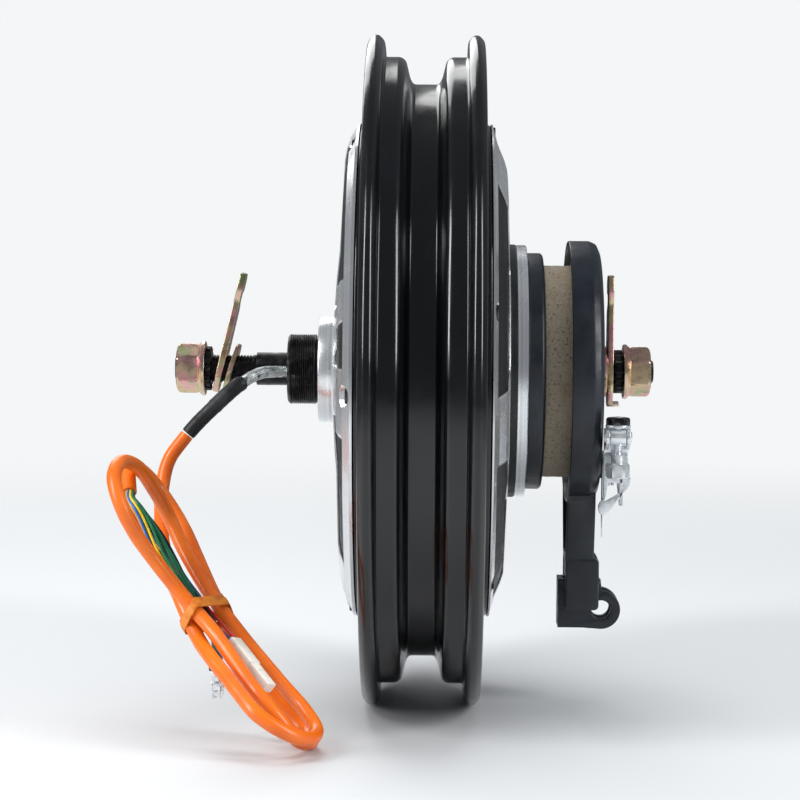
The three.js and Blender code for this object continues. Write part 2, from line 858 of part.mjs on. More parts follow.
const indicator = cut(
  union(
    rodY(6.2, 87.5, 88.3, CAM_X, CAM_Z, 16),
    plateY([[CAM_X - 5, CAM_Z], [CAM_X + 5, CAM_Z], [CAM_X + 3, -68], [CAM_X - 1, -80], [CAM_X - 4, -68]], 87.5, 88.3),
  ),
  rodY(4.1, 86, 90, CAM_X, CAM_Z, 16),
);
add(lever, "wear_indicator", indicator, 0xb9bdc1, 0.3, 1);

// ---------- cable anchor on the lever ----------

const trunnion = cut(
  union(
    rodY(2.5, 86.2, 99.6, TRUNNION_X, TRUNNION_Z, 12),
    rodY(4.2, 89.1, 96.7, TRUNNION_X, TRUNNION_Z, 16),
  ),
  rodZ(2.2, -37, -20, TRUNNION_X, TRUNNION_Y, 12),
);
add(cableEnd, "anchor_trunnion", trunnion, STEEL, 0.3, 1);

function hexZ(acrossFlats, z0, z1) {
  return hexY(acrossFlats, z0, z1).rotateX(Math.PI / 2).translate(TRUNNION_X, TRUNNION_Y, 0);
}
add(
  cableEnd,
  "anchor_bolt",
  union(
    hexZ(10, -47.7, -40.5),
    rodZ(3.1, -40.6, -36.4, TRUNNION_X, TRUNNION_Y, 12),
    rodZ(2.1, -36.5, -18.2, TRUNNION_X, TRUNNION_Y, 12),
  ),
  0xd3d6d9,
  0.25,
  1,
);
add(
  cableEnd,
  "anchor_nut",
  cut(
    union(hexZ(10, -22.2, -18.6), rodZ(6, -23.5, -22.1, TRUNNION_X, TRUNNION_Y, 16)),
    rodZ(2.2, -30, -15, TRUNNION_X, TRUNNION_Y, 12),
  ),
  0x2a2b2d,
  0.4,
  0.8,
);

// ---------- axle hardware ----------

const axleHole = (y0, y1) => disc(7.1, y0, y1, 24);
const flatHole = (y0, y1) => common(axleHole(y0, y1), box(-5.3, 5.3, y0, y1, -8, 8));

// Axle nut with flange; inner is the side that faces the wheel
function axleNut(inner, outer) {
  const side = Math.sign(outer - inner);
  const flangeEnd = inner + side * 4.2;
  const flange = turned([
    [7.1, inner],
    [13.6, inner],
    [13.6, inner + side * 1.8],
    [11.2, flangeEnd],
    [7.1, flangeEnd],
  ], 24);
  const y0 = Math.min(inner + side * 3, outer);
  const y1 = Math.max(inner + side * 3, outer);
  return cut(union(flange, hexY(21.4, y0, y1)), axleHole(y0 - 6, y1 + 6));
}

// Torque arm plate with a hooked end, standing up beside the nut
function torqueArm(top, bottom) {
  return [
    [-8, bottom + 6],
    [-4, bottom],
    [4, bottom],
    [8, bottom + 6],
    [10.5, -4],
    [10.5, 6],
    [8, 18],
    [7, top - 14],
    [9, top - 8],
    [7, top],
    [-3, top],
    [-7, top - 4],
    [-6, top - 10],
    [-1, top - 9],
    [0, top - 14],
    [-6.5, top - 18],
    [-8, 18],
    [-10.5, 6],
    [-10.5, -4],
  ];
}

// The left washer and torque arm hang loose and lean on the axle
const looseWasher = add(fixed, "left_axle_washer", ring(7.9, 12.8, -1.1, 1.1, 20), 0xb39c74, 0.3, 1);
looseWasher.position.y = -96;
looseWasher.rotation.x = -rad(LEFT_WASHER_LEAN);
const looseArmHole = common(disc(7.9, -3, 3, 20), box(-5.4, 5.4, -3, 3, -9, 9));
const looseArm = add(
  fixed,
  "left_torque_arm",
  cut(plateY(torqueArm(49, -12), -1.5, 1.5), looseArmHole),
  0xb39c74,
  0.3,
  1,
);
looseArm.position.y = -101.3;
looseArm.rotation.x = -rad(LEFT_ARM_LEAN);
add(fixed, "left_spring_washer", ring(7.1, 11, -108.8, -105.9, 20), 0x2c2c2e, 0.4, 0.9);
add(fixed, "left_axle_nut", axleNut(-109, -123.2), ZINC, 0.3, 1);

add(fixed, "right_axle_washer", ring(7.1, 12.6, 88.9, 90.9, 20), 0xb39c74, 0.3, 1);
add(
  fixed,
  "right_torque_arm",
  cut(
    union(
      plateY(torqueArm(48, -17), 91.2, 94),
      box(-4, 4, 91.2, 97.4, -17.4, -15),
    ),
    flatHole(90, 96),
  ),
  0xb39c74,
  0.3,
  1,
);
add(fixed, "right_spring_washer", ring(7.1, 10.8, 94.4, 98.8, 20), 0x2c2c2e, 0.4, 0.9);
add(fixed, "right_axle_nut", axleNut(99.1, 112.6), ZINC, 0.3, 1);

// ---------- cable ----------

const sleeveRoute = [
  [6.2, -64.3, -1],
  [6.8, -69, -1],
  [9, -74, -1],
  [13, -79.5, -1.2],
  [18.5, -84.5, -3],
  [22.6, -88.8, -5.6],
];
const shrinkRoute = [
  [22.9, -89.1, -5.8],
  [24.8, -91.2, -7.1],
  [27.2, -96, -11.2],
  [29.6, -103.1, -18.1],
  [31, -109.6, -24.6],
  [32.3, -114.8, -30.5],
];
add(cord, "cable_sleeve", tube(sleeveRoute, SLEEVE_R, 7, 8), 0x8f9799, 0.6, 0.3);
add(cord, "heat_shrink", tube(shrinkRoute, SHRINK_R, 6, 8), 0x252729, 0.5, 0);

// Free stretch of the cable, from the heat-shrink to where the hank begins
const cableRoute = [
  [32.6, -115.4, -31.1],
  [36, -123.6, -43],
  [41, -126.4, -56.5],
  [50.5, -125.8, -68],
  [62, -124.3, -77],
];
add(cord, "motor_cable", tube(cableRoute, CABLE_R, 6, 8), ORANGE, 0.4, 0);

// Two turns of cable in a long hank that stands on its lower end
const hankRoute = [
  [62.3, -124.2, -77.2],
  [74, -121.2, -85.5],
  [86, -117.6, -93.5],
  [98, -112.6, -100.4],
  [106.5, -107, -110.4],
  [116.5, -100.9, -119.3],
  [129, -94.9, -124.3],
  [140, -87.3, -130.7],
  [151, -79.8, -137.2],
  [160.5, -71.2, -144.6],
  [160.5, -58.7, -152.5],
  [151, -49.1, -156.9],
  [137, -46.6, -155.4],
  [125.5, -52.7, -148.4],
  [117.5, -61.8, -140],
  [110.5, -71.3, -130.6],
  [104.5, -80.4, -121.2],
  [99.5, -90, -110.2],
  [93, -98.6, -100.3],
  [86, -106.2, -89.9],
  [79, -113.3, -78.9],
  [74.5, -119.9, -66],
  [79, -126, -53.5],
  [86, -132.6, -42.6],
  [98.5, -139.1, -38.6],
  [112, -141, -44.6],
  [119, -136.9, -56.6],
  [116, -130.8, -69.6],
  [111.5, -123.2, -81.5],
  [110, -114.1, -93.4],
  [112, -104.6, -104.4],
  [118, -95, -113.8],
  [126.5, -86.9, -122.7],
  [136, -79.3, -131.1],
  [145.5, -71.3, -139.1],
  [149.5, -61.7, -149.5],
  [142.5, -54.1, -159.4],
  [129, -49.1, -162.4],
  [115, -53.1, -160.4],
  [108, -62.2, -151.5],
  [104.5, -71.8, -141.1],
  [98, -80.8, -131.2],
  [93, -88.4, -119.2],
  [88, -94.5, -107.3],
  [79, -100.6, -97.3],
  [70.5, -106.7, -86.4],
  [62.5, -112.8, -75.4],
  [55, -119.9, -65],
  [54.5, -128.5, -53],
  [64, -135.5, -44.6],
  [78.5, -138, -44.6],
  [89.5, -136.5, -53.6],
];
add(cord, "cable_hank", tube(hankRoute, CABLE_R, 66, 8), ORANGE, 0.4, 0);

// Phase and sensor wires leave the jacket and run down inside the hank
const wireRoute = [
  [89.8, -136.4, -53.9],
  [92.7, -135.9, -56.6],
  [96, -132.4, -60.6],
  [95.5, -128.9, -66],
  [96, -124.8, -72.5],
  [97, -120.3, -79.5],
  [99, -114.7, -86.9],
  [101.5, -109.1, -94.4],
  [103.5, -103.6, -101.3],
  [105.5, -98, -107.8],
  [108.5, -93.5, -112.8],
  [113.9, -86.4, -119.2],
];
add(cord, "wire_bundle", tube(wireRoute, WIRES_R, 16, 8), 0x2b6f63, 0.5, 0);

const connectorDirection = new THREE.Vector3(0.6, 0.57, -0.57).normalize();
const connector = add(cord, "hall_connector", box(-3.4, 3.4, -16, 16, -2.8, 2.8), 0xe9e7e0, 0.5, 0);
connector.position.set(123.8, -77.1, -128.4);
connector.quaternion.setFromUnitVectors(new THREE.Vector3(0, 1, 0), connectorDirection);

// Three ring terminals crimped on the phase wires
const terminals = cut(
  union(
    rodX(3.4, -2.4, -1.4, 0, 0, 12),
    rodX(3.4, -0.5, 0.5, 0.6, 0, 12),
    rodX(3.4, 1.4, 2.4, 1.2, 0, 12),
    box(-2.4, 2.4, -1.6, 2.2, 2.6, 12),
  ),
  rodX(1.7, -4, 4, 0.5, 0, 10),
);
const terminalBody = add(cord, "wire_terminals", terminals, 0xc9ccce, 0.3, 0.9);
terminalBody.position.set(104, -94.2, -143.3);

// Outline that hugs the given circles, found from the furthest circle in each direction
function hugging(centres, radius) {
  const points = [];
  for (let i = 0; i < 24; i++) {
    const a = rad(i * 15);
    let best = centres[0];
    for (const c of centres) {
      const reach = c[0] * Math.cos(a) + c[1] * Math.sin(a);
      if (reach > best[0] * Math.cos(a) + best[1] * Math.sin(a)) best = c;
    }
    points.push([best[0] + radius * Math.cos(a), best[1] + radius * Math.sin(a)]);
  }
  return points;
}

// Rubber band round all four strands
const bandCentre = new THREE.Vector3(101.5, -99.5, -107.8);
const bandDirection = new THREE.Vector3(0.41, 0.52, -0.75).normalize();
const bandTurn = new THREE.Quaternion().setFromUnitVectors(new THREE.Vector3(0, 0, 1), bandDirection);
const bandBack = bandTurn.clone().invert();
const strandLine = new THREE.CatmullRomCurve3(
  hankRoute.map(([x, y, z]) => new THREE.Vector3(x, y, z)),
  false,
  "centripetal",
);
const crossings = [];
let before = null;
for (const p of strandLine.getSpacedPoints(800)) {
  const local = p.sub(bandCentre).applyQuaternion(bandBack);
  if (before && before.z * local.z <= 0) crossings.push([local.x, local.y]);
  before = local;
}
const bandShape = outline(hugging(crossings, CABLE_R + 1.8));
const bandInner = new THREE.Path(
  hugging(crossings, CABLE_R + 1).map(([u, v]) => new THREE.Vector2(u, v)),
);
bandShape.holes.push(bandInner);
const rubber = new THREE.ExtrudeGeometry(bandShape, { depth: 5, bevelEnabled: false });
rubber.translate(0, 0, -2.5);
const rubberBand = add(cord, "rubber_band", facingOut(rubber), 0xd9822b, 0.6, 0);
rubberBand.position.copy(bandCentre);
rubberBand.quaternion.copy(bandTurn);

export default object;
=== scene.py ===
"""Looks of the hub motor wheel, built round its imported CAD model. Metres, +Z up, the wheel turns about Y."""
import json
import math
import random

import bmesh
import bpy
from mathutils import Matrix, Vector


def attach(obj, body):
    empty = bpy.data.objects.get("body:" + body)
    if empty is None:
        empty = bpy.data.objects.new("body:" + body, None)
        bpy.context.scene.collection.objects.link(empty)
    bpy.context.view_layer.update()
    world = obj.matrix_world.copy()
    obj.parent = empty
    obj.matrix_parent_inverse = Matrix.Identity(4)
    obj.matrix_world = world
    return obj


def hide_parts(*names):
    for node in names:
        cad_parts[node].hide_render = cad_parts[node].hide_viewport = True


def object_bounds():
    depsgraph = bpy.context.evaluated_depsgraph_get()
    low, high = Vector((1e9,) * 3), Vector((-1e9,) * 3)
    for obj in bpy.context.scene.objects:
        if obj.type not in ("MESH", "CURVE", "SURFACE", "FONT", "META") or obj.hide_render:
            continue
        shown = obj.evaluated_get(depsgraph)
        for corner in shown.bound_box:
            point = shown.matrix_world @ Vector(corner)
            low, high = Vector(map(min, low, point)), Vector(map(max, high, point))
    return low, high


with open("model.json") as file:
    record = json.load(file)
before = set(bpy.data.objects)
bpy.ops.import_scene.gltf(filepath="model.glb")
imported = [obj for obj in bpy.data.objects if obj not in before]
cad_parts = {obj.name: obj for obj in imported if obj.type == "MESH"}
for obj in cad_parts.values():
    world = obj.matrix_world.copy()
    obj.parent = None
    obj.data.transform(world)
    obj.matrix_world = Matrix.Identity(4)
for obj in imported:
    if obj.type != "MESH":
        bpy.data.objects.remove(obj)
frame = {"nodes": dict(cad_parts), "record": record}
CAD_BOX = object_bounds()
NODES = frame["nodes"]
SLOT_OF = {part["node"]: part["material_slot"] for part in frame["record"]["subparts"]}

MM = 0.001
# Shapes below give Y from the rim's middle, in millimetres; the row frame starts at the middle of the axle
RIM_SHIFT = 4.9
random.seed(7)


def point(x, y, z):
    return Vector((x * MM, (y + RIM_SHIFT) * MM, z * MM))


# ---------- camera ----------

CAMERA_DISTANCE = 1.3
CAMERA_RISE = math.radians(3.0)
CAMERA_SWING = math.radians(0.3)
CAMERA_ROLL = math.radians(0.467)
CAMERA_LENS = 117.1
CAMERA_SHIFT = (-0.030125, -0.0375)
camera_data = bpy.data.cameras.new("camera")
camera_data.sensor_width = 36
camera_data.lens = CAMERA_LENS
camera_data.shift_x, camera_data.shift_y = CAMERA_SHIFT
camera = bpy.data.objects.new("camera", camera_data)
bpy.context.collection.objects.link(camera)
outward = Vector(
    (
        math.cos(CAMERA_RISE) * math.cos(CAMERA_SWING),
        math.cos(CAMERA_RISE) * math.sin(CAMERA_SWING),
        math.sin(CAMERA_RISE),
    )
)
aim = point(0, 0, 0)
camera.location = aim + outward * CAMERA_DISTANCE
turn = outward.to_track_quat("Z", "Y").to_matrix() @ Matrix.Rotation(CAMERA_ROLL, 3, "Z")
camera.rotation_euler = turn.to_euler()
bpy.context.scene.camera = camera
bpy.context.scene.view_settings.view_transform = "Standard"


# ---------- node helpers ----------


class Look:
    """A node material that is built up in steps."""

    def __init__(self, name, color, rough, metal=0.0):
        self.material = bpy.data.materials.new(name)
        self.material.use_nodes = True
        self.nodes = self.material.node_tree.nodes
        self.links = self.material.node_tree.links
        self.shader = self.nodes["Principled BSDF"]
        self.coords = self.nodes.new("ShaderNodeTexCoord").outputs["Object"]
        self.color = color
        self.tint = None
        self.rough = rough
        self.height = []
        self.shader.inputs["Base Color"].default_value = (*color, 1)
        self.shader.inputs["Roughness"].default_value = rough
        self.shader.inputs["Metallic"].default_value = metal

    def set(self, name, value):
        self.shader.inputs[name].default_value = value
        return self

    def math(self, kind, a, b=None, c=None):
        node = self.nodes.new("ShaderNodeMath")
        node.operation = kind
        for socket, value in zip(node.inputs, (a, b, c)):
            if value is None:
                continue
            if isinstance(value, (int, float)):
                socket.default_value = value
            else:
                self.links.new(value, socket)
        return node.outputs[0]

    def noise(self, scale, detail=3.0, rough=0.55, vector=None, stretch=None):
        node = self.nodes.new("ShaderNodeTexNoise")
        node.inputs["Scale"].default_value = scale
        node.inputs["Detail"].default_value = detail
        node.inputs["Roughness"].default_value = rough
        source = vector or self.coords
        if stretch:
            mapping = self.nodes.new("ShaderNodeMapping")
            mapping.inputs["Scale"].default_value = stretch
            self.links.new(source, mapping.inputs["Vector"])
            source = mapping.outputs["Vector"]
        self.links.new(source, node.inputs["Vector"])
        return node.outputs["Fac"]

    def span(self, value, low, high, to_low=0.0, to_high=1.0):
        node = self.nodes.new("ShaderNodeMapRange")
        node.interpolation_type = "SMOOTHSTEP"
        for key, number in (("From Min", low), ("From Max", high), ("To Min", to_low), ("To Max", to_high)):
            node.inputs[key].default_value = number
        self.links.new(value, node.inputs["Value"])
        return node.outputs["Result"]

    def polar(self):
        """Distance from the axle's line, and the place along it, as a vector."""
        split = self.nodes.new("ShaderNodeSeparateXYZ")
        self.links.new(self.coords, split.inputs[0])
        x2 = self.math("MULTIPLY", split.outputs["X"], split.outputs["X"])
        z2 = self.math("MULTIPLY", split.outputs["Z"], split.outputs["Z"])
        radius = self.math("SQRT", self.math("ADD", x2, z2))
        join = self.nodes.new("ShaderNodeCombineXYZ")
        self.links.new(radius, join.inputs["X"])
        self.links.new(split.outputs["Y"], join.inputs["Y"])
        return join.outputs[0]

    def blend(self, mask, color):
        """Mixes a second colour in where the mask is 1."""
        node = self.nodes.new("ShaderNodeMix")
        node.data_type = "RGBA"
        if self.tint is None:
            node.inputs[6].default_value = (*self.color, 1)
        else:
            self.links.new(self.tint, node.inputs[6])
        node.inputs[7].default_value = (*color, 1)
        self.links.new(mask, node.inputs[0])
        self.tint = node.outputs[2]
        self.links.new(self.tint, self.shader.inputs["Base Color"])
        return self

    def vary_rough(self, value, low, high):
        self.links.new(self.span(value, 0.3, 0.7, low, high), self.shader.inputs["Roughness"])
        return self

    def bump(self, value, depth, strength=1.0):
        node = self.nodes.new("ShaderNodeBump")
        node.inputs["Strength"].default_value = strength
        node.inputs["Distance"].default_value = depth
        self.links.new(value, node.inputs["Height"])
        if self.height:
            self.links.new(self.height[-1], node.inputs["Normal"])
        self.height.append(node.outputs["Normal"])
        self.links.new(node.outputs["Normal"], self.shader.inputs["Normal"])
        return self

    def mottle(self, noise, span, color):
        """Second colour where a noise passes through the span."""
        return self.blend(self.span(self.noise(*noise), *span), color)

    def grain(self, noise, depth, strength):
        return self.bump(self.noise(*noise), depth, strength)

    def patches(self, noise, low, high):
        """Roughness that follows a noise."""
        return self.vary_rough(self.noise(*noise), low, high)

    def edges(self, color, low=0.52, high=0.58, scale=None):
        """Lighter colour on convex edges: edge wear on the steel parts, a painted highlight along the black
        casting's rounded edges.
        """
        geometry = self.nodes.new("ShaderNodeNewGeometry")
        pointy = geometry.outputs["Pointiness"]
        mask = self.span(pointy, low, high)
        if scale:
            mask = self.math("MULTIPLY", mask, self.span(self.noise(scale), 0.4, 0.6))
        return self.blend(mask, color)


def srgb(r, g, b):
    def lin(v):
        v /= 255
        return v / 12.92 if v <= 0.04045 else ((v + 0.055) / 1.055) ** 2.4

    return (lin(r), lin(g), lin(b))


# ---------- materials, one for each slot of the record ----------

LOOKS = {}

LOOKS["black_paint"] = (
    Look("gloss_black_paint", srgb(9, 11, 13), 0.16)
    .set("Coat Weight", 0.2).set("Coat Roughness", 0.1)
    .mottle((38, 5), (0.45, 0.75), srgb(14, 17, 21))
    .patches((60, 4), 0.12, 0.26)
    .grain((420, 2), 0.00004, 0.5)
    .grain((70, 3), 0.0002, 0.25)
    .mottle((600, 2, 0.6), (0.78, 0.82), srgb(90, 94, 98))
)

LOOKS["black_cast"] = (
    Look("black_casting", srgb(20, 25, 33), 0.36, 0.0)
    .mottle((50, 5), (0.4, 0.7), srgb(27, 33, 42))
    .patches((90, 4), 0.3, 0.52)
    .grain((900, 3), 0.00016, 0.5)
    .grain((140, 3), 0.0003, 0.35)
    # painted highlight: the casting's convex edges are painted light grey, broken up by noise
    .edges(srgb(120, 126, 130), 0.53, 0.6, 160)
)

machined = Look("machined_aluminium", srgb(238, 240, 242), 0.2, 0.85)
machined.bump(machined.noise(1.0, 1, 0.5, machined.polar(), (5200, 5200, 1)), 0.00002, 0.6)
machined.blend(
    machined.span(machined.noise(1, 2, 0.5, machined.polar(), (900, 900, 1)), 0.35, 0.7, 0, 0.5),
    srgb(186, 190, 194),
)
machined.patches((45, 4), 0.16, 0.32)
LOOKS["machined_aluminium"] = machined

LOOKS["bare_aluminium"] = (
    Look("bare_aluminium", srgb(176, 178, 180), 0.45, 1.0)
    .mottle((120, 4), (0.4, 0.7), srgb(140, 143, 146))
    .grain((600, 3), 0.0001, 0.4)
)

LOOKS["zinc_steel"] = (
    Look("yellow_zinc", srgb(222, 196, 160), 0.28, 1.0)
    .mottle((130, 3), (0.42, 0.62), srgb(232, 176, 176))
    .mottle((95, 3, 0.5, None, (1, 1.4, 0.8)), (0.52, 0.68), srgb(176, 190, 140))
    .mottle((70, 4, 0.6, None, (1.3, 0.8, 1)), (0.58, 0.74), srgb(150, 132, 96))
    .patches((160, 4), 0.2, 0.42)
    .grain((700, 3), 0.00006, 0.5)
    .edges(srgb(246, 232, 214), 0.53, 0.62)
)

LOOKS["bright_steel"] = (
    Look("bright_zinc_steel", srgb(236, 240, 243), 0.2, 0.75)
    .mottle((150, 4), (0.5, 0.74), srgb(196, 202, 208))
    .patches((210, 4), 0.16, 0.4)
    .grain((1, 2, 0.5, None, (300, 2400, 300)), 0.00003, 0.5)
)

LOOKS["black_steel"] = (
    Look("blackened_steel", srgb(26, 26, 28), 0.34, 0.7)
    .mottle((260, 4), (0.45, 0.7), srgb(58, 57, 58))
    .patches((180, 3), 0.26, 0.5)
    .grain((900, 3), 0.00005, 0.5)
    .edges(srgb(150, 150, 150), 0.54, 0.64, 260)
)

LOOKS["lamination_steel"] = (
    Look("lamination_steel", srgb(104, 106, 108), 0.5, 0.9)
    .grain((1, 1, 0.5, None, (20, 3000, 20)), 0.0001, 0.7)
)

LOOKS["cast_iron"] = (
    Look("rough_iron_casting", srgb(158, 146, 126), 0.78, 0.1)
    .mottle((700, 4, 0.7), (0.52, 0.66), srgb(100, 94, 82))
    .mottle((1500, 2, 0.6), (0.6, 0.72), srgb(172, 166, 154))
    .mottle((420, 5, 0.7), (0.62, 0.74), srgb(54, 48, 42))
    .mottle((60, 4), (0.55, 0.75, 0, 0.5), srgb(130, 106, 74))
    .patches((300, 3), 0.6, 0.9)
    .grain((1100, 4, 0.7), 0.0004, 0.8)
)

copper = Look("enamelled_copper", srgb(190, 98, 48), 0.3, 1.0)
copper.bump(copper.noise(1, 1, 0.5, copper.polar(), (2600, 2600, 1)), 0.0002, 0.8)
LOOKS["copper_wire"] = copper

LOOKS["magnet"] = (
    Look("nickel_magnet", srgb(170, 172, 174), 0.25, 1.0)
    .patches((120, 3), 0.2, 0.4)
)

LOOKS["friction_lining"] = (
    Look("friction_lining", srgb(84, 68, 56), 0.9)
    .mottle((900, 3), (0.5, 0.65), srgb(150, 122, 80))
    .grain((1200, 3), 0.0002, 0.7)
)

LOOKS["circuit_board"] = (
    Look("circuit_board", srgb(30, 96, 54), 0.4)
    .mottle((300, 2), (0.5, 0.6), srgb(20, 74, 42))
)

LOOKS["rubber_black"] = (
    Look("black_rubber", srgb(26, 26, 27), 0.8)
    .grain((800, 3), 0.00008, 0.6)
    .patches((90, 3), 0.7, 0.9)
)

LOOKS["orange_pvc"] = (
    Look("orange_jacket", srgb(234, 112, 14), 0.34)
    .set("Coat Weight", 0.12).set("Coat Roughness", 0.22)
    .set("Subsurface Weight", 0.08).set("Subsurface Radius", (0.002, 0.0008, 0.0003))
    .mottle((60, 4), (0.4, 0.7), srgb(222, 100, 12))
    .mottle((500, 3), (0.66, 0.78, 0, 0.5), srgb(204, 86, 16))
    .patches((120, 3), 0.28, 0.44)
    .grain((260, 3), 0.00012, 0.4)
)

LOOKS["braid"] = (
    Look("tinned_braid", srgb(206, 212, 212), 0.34, 0.8)
    .mottle((260, 3), (0.45, 0.65), srgb(96, 102, 106))
    .grain((1500, 2), 0.0001, 0.5)
)

LOOKS["shrink_black"] = (
    Look("heat_shrink", srgb(22, 23, 25), 0.5)
    .mottle((90, 4), (0.45, 0.7), srgb(48, 50, 53))
    .patches((150, 3), 0.42, 0.6)
    .grain((320, 4), 0.00018, 0.5)
)

LOOKS["wire_insulation"] = (
    Look("wire_insulation", srgb(26, 104, 84), 0.38)
    .grain((500, 2), 0.00006, 0.4)
)

LOOKS["white_nylon"] = (
    Look("white_nylon", srgb(226, 222, 214), 0.42)
    .set("Subsurface Weight", 0.15).set("Subsurface Radius", (0.002, 0.002, 0.0018))
    .mottle((110, 4), (0.45, 0.7), srgb(208, 202, 190))
    .grain((700, 2), 0.00004, 0.4)
)

LOOKS["rubber_amber"] = (
    Look("amber_rubber", srgb(222, 132, 40), 0.55)
    .set("Subsurface Weight", 0.2).set("Subsurface Radius", (0.002, 0.001, 0.0004))
    .mottle((220, 4), (0.42, 0.66), srgb(196, 104, 26))
    .grain((700, 3), 0.0001, 0.6)
)


def wire_look(name, color):
    look = Look(name, color, 0.36)
    look.blend(look.span(look.noise(240, 3), 0.45, 0.7, 0, 0.5), tuple(v * 0.6 for v in color))
    look.bump(look.noise(500, 2), 0.00005, 0.4)
    look.vary_rough(look.noise(180, 3), 0.3, 0.46)
    return look


pocket_black = Look("pocket_black", srgb(18, 20, 22), 0.45)
pocket_black.bump(pocket_black.noise(700, 4), 0.00025, 0.7)
pocket_black.vary_rough(pocket_black.noise(120, 3), 0.38, 0.55)
pocket_black.blend(pocket_black.span(pocket_black.noise(70, 4), 0.5, 0.75), srgb(34, 37, 40))

for name, node in NODES.items():
    node.data.materials.clear()
    node.data.materials.append(LOOKS[SLOT_OF[name]].material)


# ---------- shape helpers ----------


def finish_mesh(mesh, angle=32):
    mesh.shade_smooth()
    mesh.set_sharp_from_angle(angle=math.radians(angle))


def mesh_from(bm, name, outward=True):
    """Mesh made of a bmesh, which is freed. outward turns its faces to the outside."""
    if outward:
        bmesh.ops.recalc_face_normals(bm, faces=bm.faces)
    mesh = bpy.data.meshes.new(name)
    bm.to_mesh(mesh)
    bm.free()
    return mesh


def piece_from(name, mesh, look, body, *replaced):
    """New object on a body, in the slot of its look, in place of the nodes it replaces."""
    obj = bpy.data.objects.new(name, mesh)
    bpy.context.collection.objects.link(obj)
    if look is not None:
        mesh.materials.append(LOOKS[look].material if isinstance(look, str) else look.material)
    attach(obj, body)
    if replaced:
        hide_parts(*replaced)
    return obj


def rounded(profile, radius, steps=3):
    """Softens the corners of a closed [r, y] profile."""
    out = []
    count = len(profile)
    for i, here in enumerate(profile):
        p = Vector(here)
        a = Vector(profile[i - 1]) - p
        b = Vector(profile[(i + 1) % count]) - p
        on_axis = p.x <= 1e-6
        if on_axis or a.length < 1e-6 or b.length < 1e-6 or a.angle(b) > math.radians(170):
            out.append((p.x, p.y))
            continue
        cut = min(radius, 0.45 * a.length, 0.45 * b.length)
        start = p + a.normalized() * cut
        end = p + b.normalized() * cut
        for k in range(steps + 1):
            t = k / steps
            q = start * (1 - t) ** 2 + p * (2 * t * (1 - t)) + end * t**2
            out.append((q.x, q.y))
    return out


def lathe_mesh(name, profile, segments=128, closed=True, shape=None):
    """Surface turned about Y from [r, y] pairs. shape(r, y, angle) may move a point."""
    bm = bmesh.new()
    columns = []
    for i in range(segments):
        a = 2 * math.pi * i / segments
        column = []
        for r, y in profile:
            if shape:
                x, yy, z = shape(r, y, a)
            else:
                x, yy, z = r * math.cos(a), y, r * math.sin(a)
            column.append(bm.verts.new(point(x, yy, z)))
        columns.append(column)
    count = len(profile)
    last = count if closed else count - 1
    for i in range(segments):
        c0, c1 = columns[i], columns[(i + 1) % segments]
        for k in range(last):
            n = (k + 1) % count
            bm.faces.new((c0[k], c0[n], c1[n], c1[k]))
    bmesh.ops.remove_doubles(bm, verts=bm.verts, dist=1e-7)
    mesh = mesh_from(bm, name)
    finish_mesh(mesh)
    return mesh


def joined(name, meshes):
    bm = bmesh.new()
    for mesh in meshes:
        bm.from_mesh(mesh)
    out = mesh_from(bm, name, outward=False)
    finish_mesh(out)
    return out


def placed(mesh, matrix):
    mesh.transform(matrix)
    return mesh


def outline_mesh(name, outline, holes, low, high, bevel=0.3, axis="Y"):
    """Plate with bevelled edges from [u, v] outlines in millimetres, between two places along an axis."""
    curve = bpy.data.curves.new(name, "CURVE")
    curve.dimensions = "2D"
    curve.fill_mode = "BOTH"
    curve.extrude = ((high - low) / 2 - bevel) * MM
    curve.bevel_depth = bevel * MM
    curve.bevel_resolution = 2
    curve.offset = -bevel * MM
    for loop in [outline, *holes]:
        spline = curve.splines.new("POLY")
        spline.points.add(len(loop) - 1)
        for p, (u, v) in zip(spline.points, loop):
            p.co = (u * MM, v * MM, 0, 1)
        spline.use_cyclic_u = True
    obj = bpy.data.objects.new(name, curve)
    bpy.context.collection.objects.link(obj)
    deps = bpy.context.evaluated_depsgraph_get()
    mesh = bpy.data.meshes.new_from_object(obj.evaluated_get(deps))
    bpy.data.objects.remove(obj)
    middle = (low + high) / 2
    if axis == "Y":
        place = Matrix(((1, 0, 0, 0), (0, 0, -1, (middle + RIM_SHIFT) * MM), (0, 1, 0, 0), (0, 0, 0, 1)))
    elif axis == "X":
        place = Matrix(((0, 0, 1, middle * MM), (1, 0, 0, RIM_SHIFT * MM), (0, 1, 0, 0), (0, 0, 0, 1)))
    else:
        place = Matrix(((1, 0, 0, 0), (0, 1, 0, RIM_SHIFT * MM), (0, 0, 1, middle * MM), (0, 0, 0, 1)))
    bm = bmesh.new()
    bm.from_mesh(mesh)
    bmesh.ops.remove_doubles(bm, verts=bm.verts, dist=1e-6)
    out = mesh_from(bm, name)
    out.transform(place)
    finish_mesh(out)
    return out


def circle(radius, cx=0.0, cz=0.0, steps=48, start=0.0, end=360.0):
    full = abs(end - start) >= 360
    count = steps if full else steps + 1
    return [
        (
            cx + radius * math.cos(math.radians(start + (end - start) * i / steps)),
            cz + radius * math.sin(math.radians(start + (end - start) * i / steps)),
        )
        for i in range(count)
    ]


